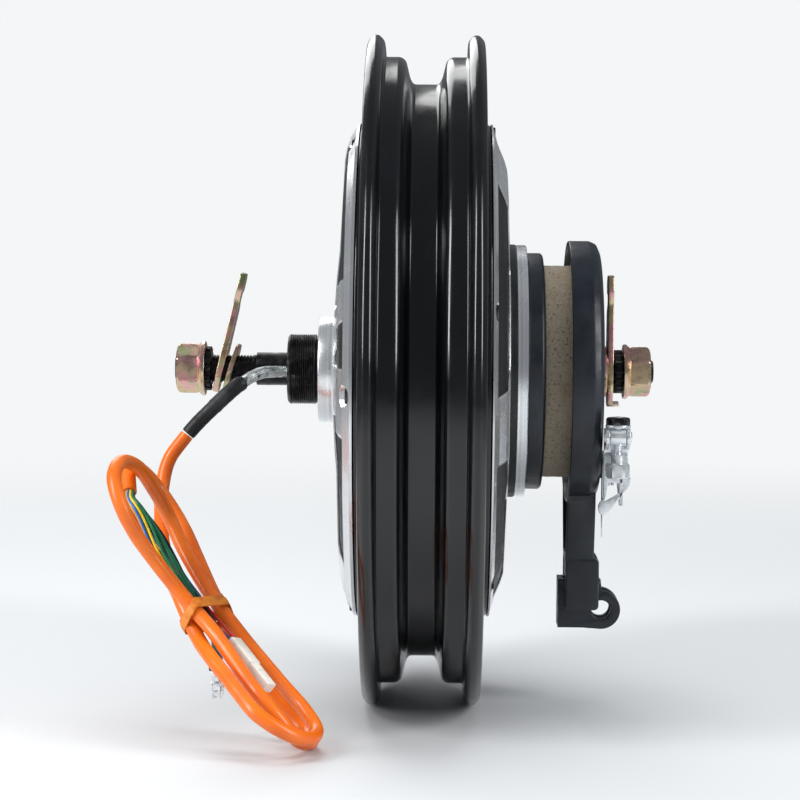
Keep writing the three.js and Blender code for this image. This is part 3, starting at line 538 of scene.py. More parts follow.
def smooth_line(points, spacing=1.0):
    """Even points along a smooth curve through the given ones (centripetal, as the CAD tubes use)."""
    pts = [Vector(p) for p in points]
    first = pts[0] * 2 - pts[1]
    last = pts[-1] * 2 - pts[-2]
    ring = [first, *pts, last]
    fine = []
    for i in range(1, len(ring) - 2):
        p0, p1, p2, p3 = ring[i - 1 : i + 3]
        t0 = 0.0
        t1 = t0 + max((p1 - p0).length, 1e-9) ** 0.5
        t2 = t1 + max((p2 - p1).length, 1e-9) ** 0.5
        t3 = t2 + max((p3 - p2).length, 1e-9) ** 0.5
        for k in range(12):
            t = t1 + (t2 - t1) * k / 12
            a1 = p0 * ((t1 - t) / (t1 - t0)) + p1 * ((t - t0) / (t1 - t0))
            a2 = p1 * ((t2 - t) / (t2 - t1)) + p2 * ((t - t1) / (t2 - t1))
            a3 = p2 * ((t3 - t) / (t3 - t2)) + p3 * ((t - t2) / (t3 - t2))
            b1 = a1 * ((t2 - t) / (t2 - t0)) + a2 * ((t - t0) / (t2 - t0))
            b2 = a2 * ((t3 - t) / (t3 - t1)) + a3 * ((t - t1) / (t3 - t1))
            fine.append(b1 * ((t2 - t) / (t2 - t1)) + b2 * ((t - t1) / (t2 - t1)))
    fine.append(pts[-1])
    return evenly(fine, spacing)


def evenly(line, spacing):
    lengths = [0.0]
    for a, b in zip(line, line[1:]):
        lengths.append(lengths[-1] + (b - a).length)
    count = max(2, round(lengths[-1] / spacing))
    out = []
    k = 0
    for i in range(count + 1):
        s = lengths[-1] * i / count
        while k < len(line) - 2 and lengths[k + 1] < s:
            k += 1
        step = max(lengths[k + 1] - lengths[k], 1e-9)
        out.append(line[k].lerp(line[k + 1], min(1.0, max(0.0, (s - lengths[k]) / step))))
    return out


def frames_along(line):
    """Centre, side and up vectors along a line, without twist."""
    tangents = []
    for i in range(len(line)):
        a = line[max(0, i - 1)]
        b = line[min(len(line) - 1, i + 1)]
        tangents.append((b - a).normalized())
    side = tangents[0].orthogonal().normalized()
    out = []
    for p, t in zip(line, tangents):
        side = (side - t * side.dot(t)).normalized()
        out.append((p, side, t.cross(side)))
    return out


def tube_mesh(name, line, radius, sides=20, cap=True):
    """Closed tube along a line in millimetres. radius is a number or a function of the share of length."""
    bm = bmesh.new()
    rings = []
    count = len(line)
    for i, (p, side, up) in enumerate(frames_along(line)):
        share = i / (count - 1)
        r = radius(share) if callable(radius) else radius
        loop = []
        for k in range(sides):
            a = 2 * math.pi * k / sides
            q = p + side * (r * math.cos(a)) + up * (r * math.sin(a))
            loop.append(bm.verts.new(point(*q)))
        rings.append(loop)
    for a, b in zip(rings, rings[1:]):
        for k in range(sides):
            n = (k + 1) % sides
            bm.faces.new((a[k], a[n], b[n], b[k]))
    if cap:
        bm.faces.new(rings[0][::-1])
        bm.faces.new(rings[-1])
    mesh = mesh_from(bm, name)
    finish_mesh(mesh, 40)
    return mesh


def hex_radius(across_flats, angle):
    sector = math.radians(60)
    local = (angle + sector / 2) % sector - sector / 2
    return across_flats / 2 / math.cos(local)


def apply_modifiers(obj):
    deps = bpy.context.evaluated_depsgraph_get()
    mesh = bpy.data.meshes.new_from_object(obj.evaluated_get(deps))
    obj.modifiers.clear()
    old = obj.data
    obj.data = mesh
    bpy.data.meshes.remove(old)
    finish_mesh(mesh)


def carve(obj, *tools):
    """Cuts closed tool meshes out of a piece."""
    for tool in tools:
        cutter = bpy.data.objects.new("cutter", tool)
        bpy.context.collection.objects.link(cutter)
        modifier = obj.modifiers.new("cut", "BOOLEAN")
        modifier.operation = "DIFFERENCE"
        modifier.solver = "EXACT"
        modifier.object = cutter
        apply_modifiers(obj)
        bpy.data.objects.remove(cutter)


def box_mesh(name, x0, x1, y0, y1, z0, z1, bevel=0.3):
    bm = bmesh.new()
    bmesh.ops.create_cube(bm, size=1)
    for v in bm.verts:
        x = x0 + (x1 - x0) * (v.co.x + 0.5)
        y = y0 + (y1 - y0) * (v.co.y + 0.5)
        z = z0 + (z1 - z0) * (v.co.z + 0.5)
        v.co = point(x, y, z)
    if bevel:
        bmesh.ops.bevel(bm, geom=bm.edges[:], offset=bevel * MM, segments=3, affect="EDGES", profile=0.5)
    mesh = mesh_from(bm, name, outward=False)
    finish_mesh(mesh)
    return mesh


def turned_about(mesh, x, z):
    """Moves a mesh turned about the axle's line to another line along Y."""
    mesh.transform(Matrix.Translation((x * MM, 0, z * MM)))
    return mesh


# ---------- cable: route points in millimetres, from the axle's slot to the free end ----------

SLEEVE_ROUTE = [
    (6.2, -64.3, -1), (6.8, -69, -1), (9, -74, -1), (13, -79.5, -1.2), (18.5, -84.5, -3),
    (22.6, -88.8, -5.6),
]
SHRINK_ROUTE = [
    (22.9, -89.1, -5.8), (24.8, -91.2, -7.1), (27.2, -96, -11.2), (29.6, -103.1, -18.1),
    (31, -109.6, -24.6), (32.3, -114.8, -30.5),
]
CABLE_ROUTE = [
    (32.6, -115.4, -31.1), (36, -123.6, -43), (41, -126.4, -56.5), (50.5, -125.8, -68),
    (62.3, -124.2, -77.2), (74, -121.2, -85.5), (86, -117.6, -93.5), (98, -112.6, -100.4),
    (106.5, -107, -110.4), (116.5, -100.9, -119.3), (129, -94.9, -124.3), (140, -87.3, -130.7),
    (151, -79.8, -137.2), (160.5, -71.2, -144.6), (160.5, -58.7, -152.5), (151, -49.1, -156.9),
    (137, -46.6, -155.4), (125.5, -52.7, -148.4), (117.5, -61.8, -140), (110.5, -71.3, -130.6),
    (104.5, -80.4, -121.2), (99.5, -90, -110.2), (93, -98.6, -100.3), (86, -106.2, -89.9),
    (79, -113.3, -78.9), (74.5, -119.9, -66), (79, -126, -53.5), (86, -132.6, -42.6),
    (98.5, -139.1, -38.6), (112, -141, -44.6), (119, -136.9, -56.6), (116, -130.8, -69.6),
    (111.5, -123.2, -81.5), (110, -114.1, -93.4), (112, -104.6, -104.4), (118, -95, -113.8),
    (126.5, -86.9, -122.7), (136, -79.3, -131.1), (145.5, -71.3, -139.1), (149.5, -61.7, -149.5),
    (142.5, -54.1, -159.4), (129, -49.1, -162.4), (115, -53.1, -160.4), (108, -62.2, -151.5),
    (104.5, -71.8, -141.1), (98, -80.8, -131.2), (93, -88.4, -119.2), (88, -94.5, -107.3),
    (79, -100.6, -97.3), (70.5, -106.7, -86.4), (62.5, -112.8, -75.4), (55, -119.9, -65),
    (54.5, -128.5, -53), (64, -135.5, -44.6), (78.5, -138, -44.6), (89.5, -136.5, -53.6),
]
WIRE_ROUTE = [
    (89.8, -136.4, -53.9), (92.7, -135.9, -56.6), (96, -132.4, -60.6), (95.5, -128.9, -66),
    (96, -124.8, -72.5), (97, -120.3, -79.5), (99, -114.7, -86.9), (101.5, -109.1, -94.4),
    (103.5, -103.6, -101.3), (105.5, -98, -107.8), (108.5, -93.5, -112.8), (113.9, -86.4, -119.2),
]
PHASE_END_ROUTE = [
    (103, -103.6, -101.3), (103, -99, -108.8), (102, -95.8, -117.8), (103, -94.3, -126.8),
    (104, -94.2, -133.6),
]
CABLE_R = 3.4
SLEEVE_R = 2.9
BRAID_STRANDS = 14
BRAID_PITCH = 7.5

sleeve_line = smooth_line(SLEEVE_ROUTE, 0.22)
shrink_line = smooth_line(SHRINK_ROUTE, 0.5)
cable_line = smooth_line(CABLE_ROUTE, 1.1)
wire_line = smooth_line(WIRE_ROUTE, 0.8)


def braid_mesh(name, line, radius):
    """Sleeve of flat wires that cross each other."""
    bm = bmesh.new()
    sides = 84
    rings = []
    travelled = 0.0
    frames = frames_along(line)
    for i, (p, side, up) in enumerate(frames):
        if i:
            travelled += (p - frames[i - 1][0]).length
        loop = []
        for k in range(sides):
            a = 2 * math.pi * k / sides
            wind = 2 * math.pi * travelled / BRAID_PITCH
            over = math.cos(BRAID_STRANDS * 0.5 * (a + wind))
            under = math.cos(BRAID_STRANDS * 0.5 * (a - wind))
            lift = 0.17 * (max(over, under) - 0.35 * over * under)
            r = radius - 0.12 + lift
            q = p + side * (r * math.cos(a)) + up * (r * math.sin(a))
            loop.append(bm.verts.new(point(*q)))
        rings.append(loop)
    for a, b in zip(rings, rings[1:]):
        for k in range(sides):
            n = (k + 1) % sides
            bm.faces.new((a[k], a[n], b[n], b[k]))
    bm.faces.new(rings[0][::-1])
    bm.faces.new(rings[-1])
    mesh = mesh_from(bm, name)
    finish_mesh(mesh, 60)
    return mesh


def shrink_radius(share):
    step = 3.78 if share < 0.5 else 3.62
    lip = 0.16 * math.exp(-((share - 0.5) / 0.012) ** 2)
    ends = -0.22 * (max(0.0, 1 - share / 0.03) + max(0.0, 1 - (1 - share) / 0.03))
    return step + lip * 0.6 + ends + 0.05 * math.sin(share * 41) * math.sin(share * 17)


sleeve = piece_from(
    "braided_sleeve", braid_mesh("braided_sleeve", sleeve_line, SLEEVE_R), "braid", "axle_assembly",
    "cable_sleeve",
)
shrink_tube = piece_from(
    "shrink_tube", tube_mesh(
        "shrink_tube", shrink_line, shrink_radius, 32,
    ), "shrink_black", "axle_assembly", "heat_shrink"
)
cable = piece_from(
    "orange_cable", tube_mesh(
        "orange_cable", cable_line, CABLE_R, 28,
    ), "orange_pvc", "axle_assembly", "motor_cable", "cable_hank"
)

# Three phase wires and five sensor wires, twisted loosely round each other
PHASE_WIRES = [
    ("phase_wire_blue", srgb(52, 84, 118), 1.35, 1.75, 200),
    ("phase_wire_green", srgb(18, 104, 74), 1.35, 1.75, 320),
    ("phase_wire_amber", srgb(196, 146, 58), 1.25, 1.75, 80),
]
SENSOR_WIRES = [
    ("sensor_wire_red", srgb(196, 36, 34), 0.62, 2.55, 140),
    ("sensor_wire_black", srgb(24, 24, 26), 0.62, 2.55, 260),
    ("sensor_wire_yellow", srgb(238, 206, 44), 0.62, 2.55, 20),
    ("sensor_wire_green", srgb(36, 132, 88), 0.62, 2.55, 350),
    ("sensor_wire_blue", srgb(36, 112, 196), 0.62, 2.55, 50),
]


def wound(line, offset, start, twist, spread):
    frames = frames_along(line)
    out = []
    for i, (p, side, up) in enumerate(frames):
        share = i / (len(frames) - 1)
        a = math.radians(start) + twist * share
        r = offset * spread(share)
        out.append(p + side * (r * math.cos(a)) + up * (r * math.sin(a)))
    return out


def loop_spread(share):
    return 0.75 + 0.75 * math.sin(math.pi * min(1.0, share / 0.62)) ** 2


phase_line = smooth_line(WIRE_ROUTE[:8] + PHASE_END_ROUTE, 0.8)
for name, color, radius, offset, start in PHASE_WIRES:
    path = wound(phase_line, offset, start, 2.6, loop_spread)
    piece_from(name, tube_mesh(name, path, radius, 14), wire_look(name, color), "axle_assembly")
for name, color, radius, offset, start in SENSOR_WIRES:
    path = wound(wire_line, offset, start, 3.4, loop_spread)
    piece_from(name, tube_mesh(name, path, radius, 10), wire_look(name, color), "axle_assembly")
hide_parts("wire_bundle")

# Plug housing on the sensor wires
PLUG_MIDDLE = Vector((123.8, -77.1, -128.4))
PLUG_DIRECTION = Vector((0.6, 0.57, -0.57)).normalized()


def plug_mesh():
    parts = [
        box_mesh("plug_rear", -3.35, 3.35, -15.9, -0.4, -2.75, 2.75, 0.35),
        box_mesh("plug_front", -3.0, 3.0, 0.1, 15.9, -2.4, 2.4, 0.35),
        box_mesh("plug_collar", -3.38, 3.38, -1.2, 1.6, -2.78, 2.78, 0.3),
        box_mesh("plug_latch", -1.4, 1.4, -6.0, 6.4, 2.3, 2.79, 0.2),
    ]
    for i in range(5):
        x = -2.4 + i * 1.2
        parts.append(box_mesh("rib", x - 0.22, x + 0.22, 3.0, 14.6, -2.62, -2.3, 0.08))
    mesh = joined("sensor_plug", parts)
    mesh.transform(Matrix.Translation((0, -RIM_SHIFT * MM, 0)))
    spin = Vector((0, 1, 0)).rotation_difference(PLUG_DIRECTION).to_matrix().to_4x4()
    mesh.transform(Matrix.Translation(point(*PLUG_MIDDLE)) @ spin)
    return mesh


plug = piece_from("sensor_plug", plug_mesh(), "white_nylon", "axle_assembly", "hall_connector")

# Ring terminals with their shrink sleeves
TERMINALS_AT = Vector((104, -94.2, -143.3))


def terminal_meshes():
    metal_parts = []
    sleeve_parts = []
    for i, (lean, drop) in enumerate(((-7, 0.0), (3, -1.6), (12, 1.2))):
        x = -2.1 + 2.1 * i
        ring = circle(3.2, 0, 0, 40, -62, 242)
        neck = [(-1.5, 3.6), (-1.2, 5.4), (1.2, 5.4), (1.5, 3.6)]
        plate = outline_mesh(
            "ring", ring + neck[::1], [circle(1.75, 0, 0, 28)[::-1]], x - 0.4, x + 0.4, 0.12, "X",
        )
        barrel_line = [Vector((x, 0, 5.0 + k * 0.5)) for k in range(9)]
        barrel = tube_mesh("barrel", barrel_line, lambda s: 1.25 + 0.3 * math.sin(math.pi * s), 18)
        wrap_line = [Vector((x, 0, 8.2 + k * 0.5)) for k in range(10)]
        wrap = tube_mesh("wrap", wrap_line, lambda s: 1.62 + 0.08 * math.sin(9 * s), 18)
        move = (
            Matrix.Translation(point(*TERMINALS_AT) + Vector((0, 0, drop * MM)))
            @ Matrix.Rotation(math.radians(lean), 4, "X")
            @ Matrix.Translation((0, -RIM_SHIFT * MM, 0))
        )
        metal_parts += [placed(plate, move), placed(barrel, move)]
        sleeve_parts.append(placed(wrap, move))
    return joined("ring_terminals", metal_parts), joined("terminal_sleeves", sleeve_parts)


terminal_metal, terminal_sleeves = terminal_meshes()
terminals = piece_from("ring_terminals", terminal_metal, "bright_steel", "axle_assembly", "wire_terminals")
sleeves = piece_from("terminal_sleeves", terminal_sleeves, "shrink_black", "axle_assembly")

# Rubber band: two wraps that hug the strands
BAND_CENTRE = Vector((101.5, -99.5, -107.8))
BAND_DIRECTION = Vector((0.41, 0.52, -0.75)).normalized()


def band_mesh():
    spin = Vector((0, 0, 1)).rotation_difference(BAND_DIRECTION)
    back = spin.inverted()
    local = [back @ (p - BAND_CENTRE) for p in cable_line]
    crossings = []
    for a, b in zip(local, local[1:]):
        if a.z * b.z <= 0 and a.length < 40:
            crossings.append(a.lerp(b, abs(a.z) / max(abs(a.z) + abs(b.z), 1e-9)))
    bm = bmesh.new()
    steps = 240
    for wrap, (phase, tilt, shift) in enumerate(((0.3, 2.4, -1.2), (2.2, -2.2, 1.5))):
        base = CABLE_R + 0.45 + 0.6 * wrap
        section = [(-2.2, 0.0), (-2.0, 0.4), (0.0, 0.5), (2.0, 0.4), (2.2, 0.0), (1.9, -0.2), (-1.9, -0.2)]
        rings = []
        for i in range(steps):
            a = 2 * math.pi * i / steps
            d = Vector((math.cos(a), math.sin(a), 0))
            reach = max(c.dot(d) for c in crossings)
            best = [c for c in crossings if c.dot(d) > reach - 0.9]
            weights = [math.exp((c.dot(d) - reach) / 0.5) for c in best]
            centre = sum((c * w for c, w in zip(best, weights)), Vector()) / sum(weights)
            slide = shift + tilt * math.cos(a + phase) + 0.25 * math.sin(5 * a + wrap)
            ring = []
            for w, h in section:
                q = Vector((centre.x, centre.y, 0)) + d * (base + h)
                q.z = slide + w
                ring.append(bm.verts.new(point(*(BAND_CENTRE + spin @ q))))
            rings.append(ring)
        for i in range(steps):
            r0, r1 = rings[i], rings[(i + 1) % steps]
            for k in range(len(section)):
                n = (k + 1) % len(section)
                bm.faces.new((r0[k], r0[n], r1[n], r1[k]))
    mesh = mesh_from(bm, "rubber_wraps")
    finish_mesh(mesh, 50)
    return mesh


band = piece_from("rubber_wraps", band_mesh(), "rubber_amber", "axle_assembly", "rubber_band")

# ---------- rim ----------

RIM_HALF_PROFILE = [
    (122, 5), (136.5, 5), (138, 10), (150, 14.5), (150.5, 28.7), (163, 28.7), (166, 25.9), (166, 23.3),
    (163, 20.5), (155.2, 20.5), (155.2, 12.4), (153.4, 10), (144.4, 7.8), (141.8, 6.2),
]
rim_profile = rounded(
    [
        (112.3, 32), (122, 32), *RIM_HALF_PROFILE, *[(r, -y) for r, y in RIM_HALF_PROFILE[::-1]],
        (122, -32), (112.3, -32),
    ],
    1.5,
    4,
)
rim = piece_from("cast_rim", lathe_mesh("cast_rim", rim_profile, 288), "black_paint", "wheel", "rim")
valve = lathe_mesh("valve_cut", [(0.0, -12), (4.15, -12), (4.15, 12), (0.0, 12)], 40)
valve.transform(
    Matrix.Translation((-0.140, 0, 0))
    @ Matrix.Rotation(math.pi / 2, 4, "Z")
    @ Matrix.Translation((0, -RIM_SHIFT * MM, 0))
)
valve.transform(Matrix.Translation((0, RIM_SHIFT * MM, 0)))
carve(rim, valve)

# ---------- side covers ----------

POCKET_TIP = 30
POCKET_END = 115.5
POCKET_DEPTH = 1.2
SCREW_RING = 117.2
LEFT_POCKETS = [(24, 88), (3, 14), (-50, -13), (108, 160), (176, 224), (242, 292)]
RIGHT_POCKETS = [(-3.5, 54), (-78, -20), (100, 146), (162, 208), (224, 266)]


def pocket_mask(r, angle, sectors, inner):
    """1 inside a pocket between two spokes, 0 on the spokes, soft over a millimetre."""
    nearest = -10.0
    for start, end in sectors:
        half = math.radians((end - start) / 2)
        local = (math.degrees(angle) - (start + end) / 2 + 180) % 360 - 180
        if abs(local) > 90:
            continue
        u = r * math.cos(math.radians(local))
        v = abs(r * math.sin(math.radians(local)))
        end_u, end_v = POCKET_END * math.cos(half), POCKET_END * math.sin(half)
        length = math.hypot(end_u - POCKET_TIP, end_v)
        side = ((u - POCKET_TIP) * end_v - v * (end_u - POCKET_TIP)) / length
        nearest = max(nearest, min(side, r - inner, POCKET_END - r))
    t = max(0.0, min(1.0, nearest / 1.3 + 0.5))
    return t * t * (3 - 2 * t)


def pocket_half(r, half):
    """Half angle in degrees of a pocket at radius r, from its half angle at the outer end."""
    end_u = POCKET_END * math.cos(math.radians(half)) - POCKET_TIP
    end_v = POCKET_END * math.sin(math.radians(half))
    r = max(POCKET_TIP + 2, min(POCKET_END, r))
    a, b, c = end_u**2 + end_v**2, 2 * POCKET_TIP * end_u, POCKET_TIP**2 - r**2
    t = (-b + math.sqrt(b * b - 4 * a * c)) / (2 * a)
    return math.degrees(math.atan2(end_v * t, POCKET_TIP + end_u * t))


def follow_pockets(r, angle, sectors, inner, last):
    """Moves a grid line of the face sideways so that the pockets' walls lie on grid lines."""
    share = max(0.0, min(1.0, (r - last) / (inner - last)))
    degrees = math.degrees(angle)
    knots = []
    for start, end in sorted(sectors):
        half = (end - start) / 2
        moved = half + (pocket_half(max(r, inner), half) - half) * share
        middle = (start + end) / 2
        knots += [(start, middle - moved), (end, middle + moved)]
    knots.append((knots[0][0] + 360, knots[0][1] + 360))
    degrees = (degrees - knots[0][0]) % 360 + knots[0][0]
    for (a0, b0), (a1, b1) in zip(knots, knots[1:]):
        if a0 <= degrees <= a1:
            return math.radians(b0 + (b1 - b0) * (degrees - a0) / (a1 - a0))
    return angle


def screw_dip(r, angle, first):
    """1 inside the counterbore of a screw."""
    step = 72
    local = (math.degrees(angle) - first + step / 2) % step - step / 2
    across = math.hypot(r * math.cos(math.radians(local)) - SCREW_RING, r * math.sin(math.radians(local)))
    return across < 4.3


def cover_piece(name, node, side, face, rest, sectors, inner, screw_first, seat):
    """Cover with pockets. face is its outer profile from the edge inwards, and rest closes the body."""
    dense = []
    for (r0, y0), (r1, y1) in zip(face, face[1:]):
        count = max(1, round(abs(r0 - r1) / 0.9))
        dense += [(r0 + (r1 - r0) * k / count, y0 + (y1 - y0) * k / count) for k in range(count)]
    dense.append(face[-1])
    marks = {(round(r, 4), round(y, 4)) for r, y in dense}
    profile = dense + list(rest)

    def shape(r, y, a):
        if (round(r, 4), round(y, 4)) in marks:
            a = follow_pockets(r, a, sectors, inner, face[-1][0])
            y -= side * POCKET_DEPTH * pocket_mask(r, a, sectors, inner)
            if r > 112 and screw_dip(r, a, screw_first):
                y = side * min(abs(y), seat)
        return r * math.cos(a), y, r * math.sin(a)

    mesh = lathe_mesh(name, profile, 720, True, shape)
    obj = piece_from(name, mesh, "machined_aluminium", "wheel", node)
    mesh.materials.append(pocket_black.material)
    lo = min(abs(y) for r, y in dense) - 0.5 - POCKET_DEPTH
    for poly in mesh.polygons:
        c = poly.center / MM
        r = math.hypot(c.x, c.z)
        if inner - 1 < r < POCKET_END + 1 and side * (c.y - RIM_SHIFT) > lo:
            if pocket_mask(r, math.atan2(c.z, c.x), sectors, inner) > 0.45:
                poly.material_index = 1
    return obj


cover_piece(
    "left_side_cover",
    "left_cover",
    -1,
    [(122.3, -33.4), (115.5, -37.2), (110, -39), (104, -40), (61, -42), (47, -43.4), (26.6, -44.75)],
    [
        (26.2, -45.2), (26.2, -51.4), (25.9, -51.9), (25.3, -52.2), (18.2, -52.2), (17.8, -51.8),
        (17.8, -44.5), (20, -44.5), (20, -32.1), (24, -32.1), (27, -39.6), (61, -38.2), (104, -36.6),
        (112, -32.1), (122.3, -32.1),
    ],
    LEFT_POCKETS,
    36,
    -3,
    34,
)
right_cover = cover_piece(
    "right_side_cover",
    "right_cover",
    1,
    [(122.3, 32.9), (113, 35.4), (105, 38.8), (101, 40), (66, 41.4), (63.4, 41.6)],
    [
        (63, 42), (63, 44.6), (62.4, 44.9), (62.7, 45.2), (62.7, 49.7), (62.2, 50.2), (14, 50.2),
        (14, 44.5), (20, 44.5), (20, 32.1), (24, 32.1), (27, 39), (61, 38), (104, 36.4), (112, 32.1),
        (122.3, 32.1),
    ],
    RIGHT_POCKETS,
    66,
    16,
    33,
)
for poly in right_cover.data.polygons:
    c = poly.center / MM
    if math.hypot(c.x, c.z) < 63.5 and 41.4 < c.y - RIM_SHIFT < 44.95:
        poly.material_index = 1


def socket_screw(name, node, side, angle, seat):
    """Screw with a hexagon socket, its head sunk in the cover."""
    profile = [
        (0, 24), (2.3, 24), (2.3, seat + 0.05), (3.5, seat + 0.05), (3.7, seat + 0.2),
        (3.7, seat + 1.1), (3.4, seat + 1.4), (1.9, seat + 1.4), (1.7, seat + 1.2), (1.6, seat + 0.4),
        (0, seat + 0.3),
    ]

    def shape(r, y, a):
        if y > seat + 0.25 and r < 2.0:
            r = min(r, hex_radius(2 * r * 0.95, a))
        return r * math.cos(a), side * y, r * math.sin(a)

    mesh = lathe_mesh(name, profile, 48, True, shape)
    cx, cz = SCREW_RING * math.cos(math.radians(angle)), SCREW_RING * math.sin(math.radians(angle))
    return piece_from(name, turned_about(mesh, cx, cz), "black_steel", "wheel", node)


for side, word, first, seat in ((-1, "left", -3, 34), (1, "right", 16, 33)):
    for i in range(5):
        socket_screw(
            f"{word}_socket_screw_{i + 1}", f"{word}_cover_screw_{i + 1}", side, first + 72 * i, seat,
        )

# ---------- threads ----------


def thread_rows(radius, pitch, y0, y1, rows=6):
    count = max(2, round((y1 - y0) / pitch * rows))
    return [(radius, y0 + (y1 - y0) * k / count) for k in range(count + 1)]


def thread_shape(radius, depth, pitch, y0, y1, flat=None):
    """Helical thread between y0 and y1; flat cuts both sides off at that distance from the middle."""

    def shape(r, y, a):
        if y0 + 0.01 < y < y1 - 0.01 and abs(r - radius) < 0.02:
            wave = (y / pitch + a / (2 * math.pi)) % 1.0
            tooth = 1 - abs(2 * wave - 1)
            run = min(1.0, (y - y0) / pitch, (y1 - y) / pitch)
            r = radius - depth * run * (1 - min(1.0, max(0.0, tooth * 1.25 - 0.1)))
        x = r * math.cos(a)
        if flat:
            x = max(-flat, min(flat, x))
        return x, y, r * math.sin(a)

    return shape


FREEWHEEL_R = 17.45
freewheel = lathe_mesh(
    "freewheel_thread",
    [(12.4, -67.7), (16.2, -67.7)]
    + thread_rows(FREEWHEEL_R, 1.058, -66.5, -54, 7)
    + [(16.6, -53.4), (16.6, -52.6), (17.6, -52.4), (17.6, -44.8), (12.4, -44.8)],
    144,
    True,
    thread_shape(FREEWHEEL_R, 0.55, 1.058, -66.5, -54),
)
piece_from("freewheel_thread", freewheel, "black_steel", "wheel", "freewheel_thread_adapter")

AXLE_R = 6.9
SHOULDER_R = 8.2
axle_left = lathe_mesh(
    "axle_left",
    [(0, -124), (5.6, -124), (6.6, -123)]
    + thread_rows(AXLE_R, 1.5, -122.6, -84.2)
    + [(6.3, -83.5), (0, -83.5)],
    72,
    True,
    thread_shape(AXLE_R, 0.75, 1.5, -122.6, -84.2, 5.0),
)
axle_right = lathe_mesh(
    "axle_right",
    [(0, 83.2), (6.3, 83.2)]
    + thread_rows(AXLE_R, 1.5, 83.9, 112.3)
    + [(5, 114.2), (0, 114.2)],
    72,
    True,
    thread_shape(AXLE_R, 0.75, 1.5, 83.9, 112.3, 5.0),
)
axle_middle = lathe_mesh(
    "axle_middle",
    rounded(
        [
            (0, -83.5), (SHOULDER_R, -83.5), (SHOULDER_R, -46), (8.48, -46), (8.48, -31.8), (12, -31.8),
            (12, 31.8), (8.48, 31.8), (8.48, 60), (SHOULDER_R, 60), (SHOULDER_R, 83.2), (0, 83.2),
        ],
        0.4,
    ),
    72,
)
axle = piece_from("axle_body", axle_middle, "black_steel", "axle_assembly", "axle")
carve(axle, box_mesh("slot_cut", 3, 14, -82.5, -64, -4.3, 2.3, 0.8))
axle.data = joined("axle_body", [axle.data, axle_left, axle_right])
axle.data.materials.clear()
axle.data.materials.append(LOOKS["black_steel"].material)

# ---------- axle nuts, washers and torque arms ----------


def flange_nut(name, node, inner, outer):
    side = 1 if outer > inner else -1
    length = abs(outer - inner)
    profile = [
        (7.1, 0.6), (7.7, 0), (13.3, 0), (13.6, 0.3), (13.6, 1.6), (13.3, 1.95), (12.4, 2.9),
        (11.9, 3.6), (12.36, 4.4), (12.36, length - 1.9), (12.1, length - 1.2), (11.5, length - 0.5),
        (10.3, length), (8.2, length), (7.1, length - 0.9),
    ]

    def shape(r, y, a):
        if y > 2.95 and r > 10.2:
            r = min(r, hex_radius(21.4, a))
        return r * math.cos(a), inner + side * y, r * math.sin(a)

    return piece_from(name, lathe_mesh(name, profile, 144, True, shape), "zinc_steel", "axle_assembly", node)


def toothed_washer(name, node, inner, outer, y0, y1, teeth=16):
    def shape(r, y, a):
        wave = math.cos(teeth * a)
        if r > (inner + outer) / 2:
            r += 0.35 * max(-1.0, min(1.0, 2.2 * wave)) - 0.35
            y += 0.25 * math.sin(teeth * a) * (1 if y > (y0 + y1) / 2 else -1)
        return r * math.cos(a), y, r * math.sin(a)

    profile = rounded([(inner, y0 + 0.25), (outer, y0 + 0.25), (outer, y1 - 0.25), (inner, y1 - 0.25)], 0.5)
    return piece_from(name, lathe_mesh(name, profile, 256, True, shape), "black_steel", "axle_assembly", node)


def double_d(radius, half, steps=40):
    """Round hole with two flat sides."""
    return [(max(-half, min(half, x)), z) for x, z in circle(radius, 0, 0, steps)]


def torque_outline(top, bottom):
    return [
        (-8, bottom + 6), (-4, bottom), (4, bottom), (8, bottom + 6), (10.5, -4), (10.5, 6), (8, 18),
        (7, top - 14), (9, top - 8), (7, top), (-3, top), (-7, top - 4), (-6, top - 10), (-1, top - 9),
        (0, top - 14), (-6.5, top - 18), (-8, 18), (-10.5, 6), (-10.5, -4),
    ]


def softened(points, radius=2.0):
    return rounded([(x + 500, z) for x, z in points], radius, 4)


def soft_outline(points, radius=2.0):
    return [(x - 500, z) for x, z in softened(points, radius)]


def leaning(mesh, y, degrees):
    """Tilts a mesh made round Y = 0 about X, and moves it along the axle."""
    home = Matrix.Translation((0, -RIM_SHIFT * MM, 0))
    return placed(
        mesh,
        Matrix.Translation(point(0, y, 0)) @ Matrix.Rotation(-math.radians(degrees), 4, "X") @ home,
    )


flange_nut("left_flange_nut", "left_axle_nut", -109, -123.2)
flange_nut("right_flange_nut", "right_axle_nut", 99.1, 112.6)
toothed_washer("left_toothed_washer", "left_spring_washer", 7.1, 11, -108.8, -105.9)
toothed_washer("right_toothed_washer", "right_spring_washer", 7.1, 10.8, 94.4, 98.8)
washer = lathe_mesh("left_washer", rounded([(7.9, -1.1), (12.8, -1.1), (12.8, 1.1), (7.9, 1.1)], 0.45), 96)
piece_from("left_washer", leaning(washer, -96, 17), "zinc_steel", "axle_assembly", "left_axle_washer")
washer = lathe_mesh("right_washer", rounded([(7.1, 88.9), (12.6, 88.9), (12.6, 90.9), (7.1, 90.9)], 0.45), 96)
piece_from("right_washer", washer, "zinc_steel", "axle_assembly", "right_axle_washer")
arm = outline_mesh(
    "left_arm", soft_outline(torque_outline(49, -12)), [double_d(7.9, 5.4)[::-1]], -1.5, 1.5, 0.35,
)
piece_from("left_arm_plate", leaning(arm, -101.3, 13.5), "zinc_steel", "axle_assembly", "left_torque_arm")
arm = joined(
    "right_arm",
    [
        outline_mesh(
            "plate", soft_outline(torque_outline(48, -17)), [double_d(7.1, 5.3)[::-1]], 91.2, 94, 0.35,
        ),
        box_mesh("tab", -4, 4, 91.3, 97.4, -17.4, -15, 0.4),
    ],
)
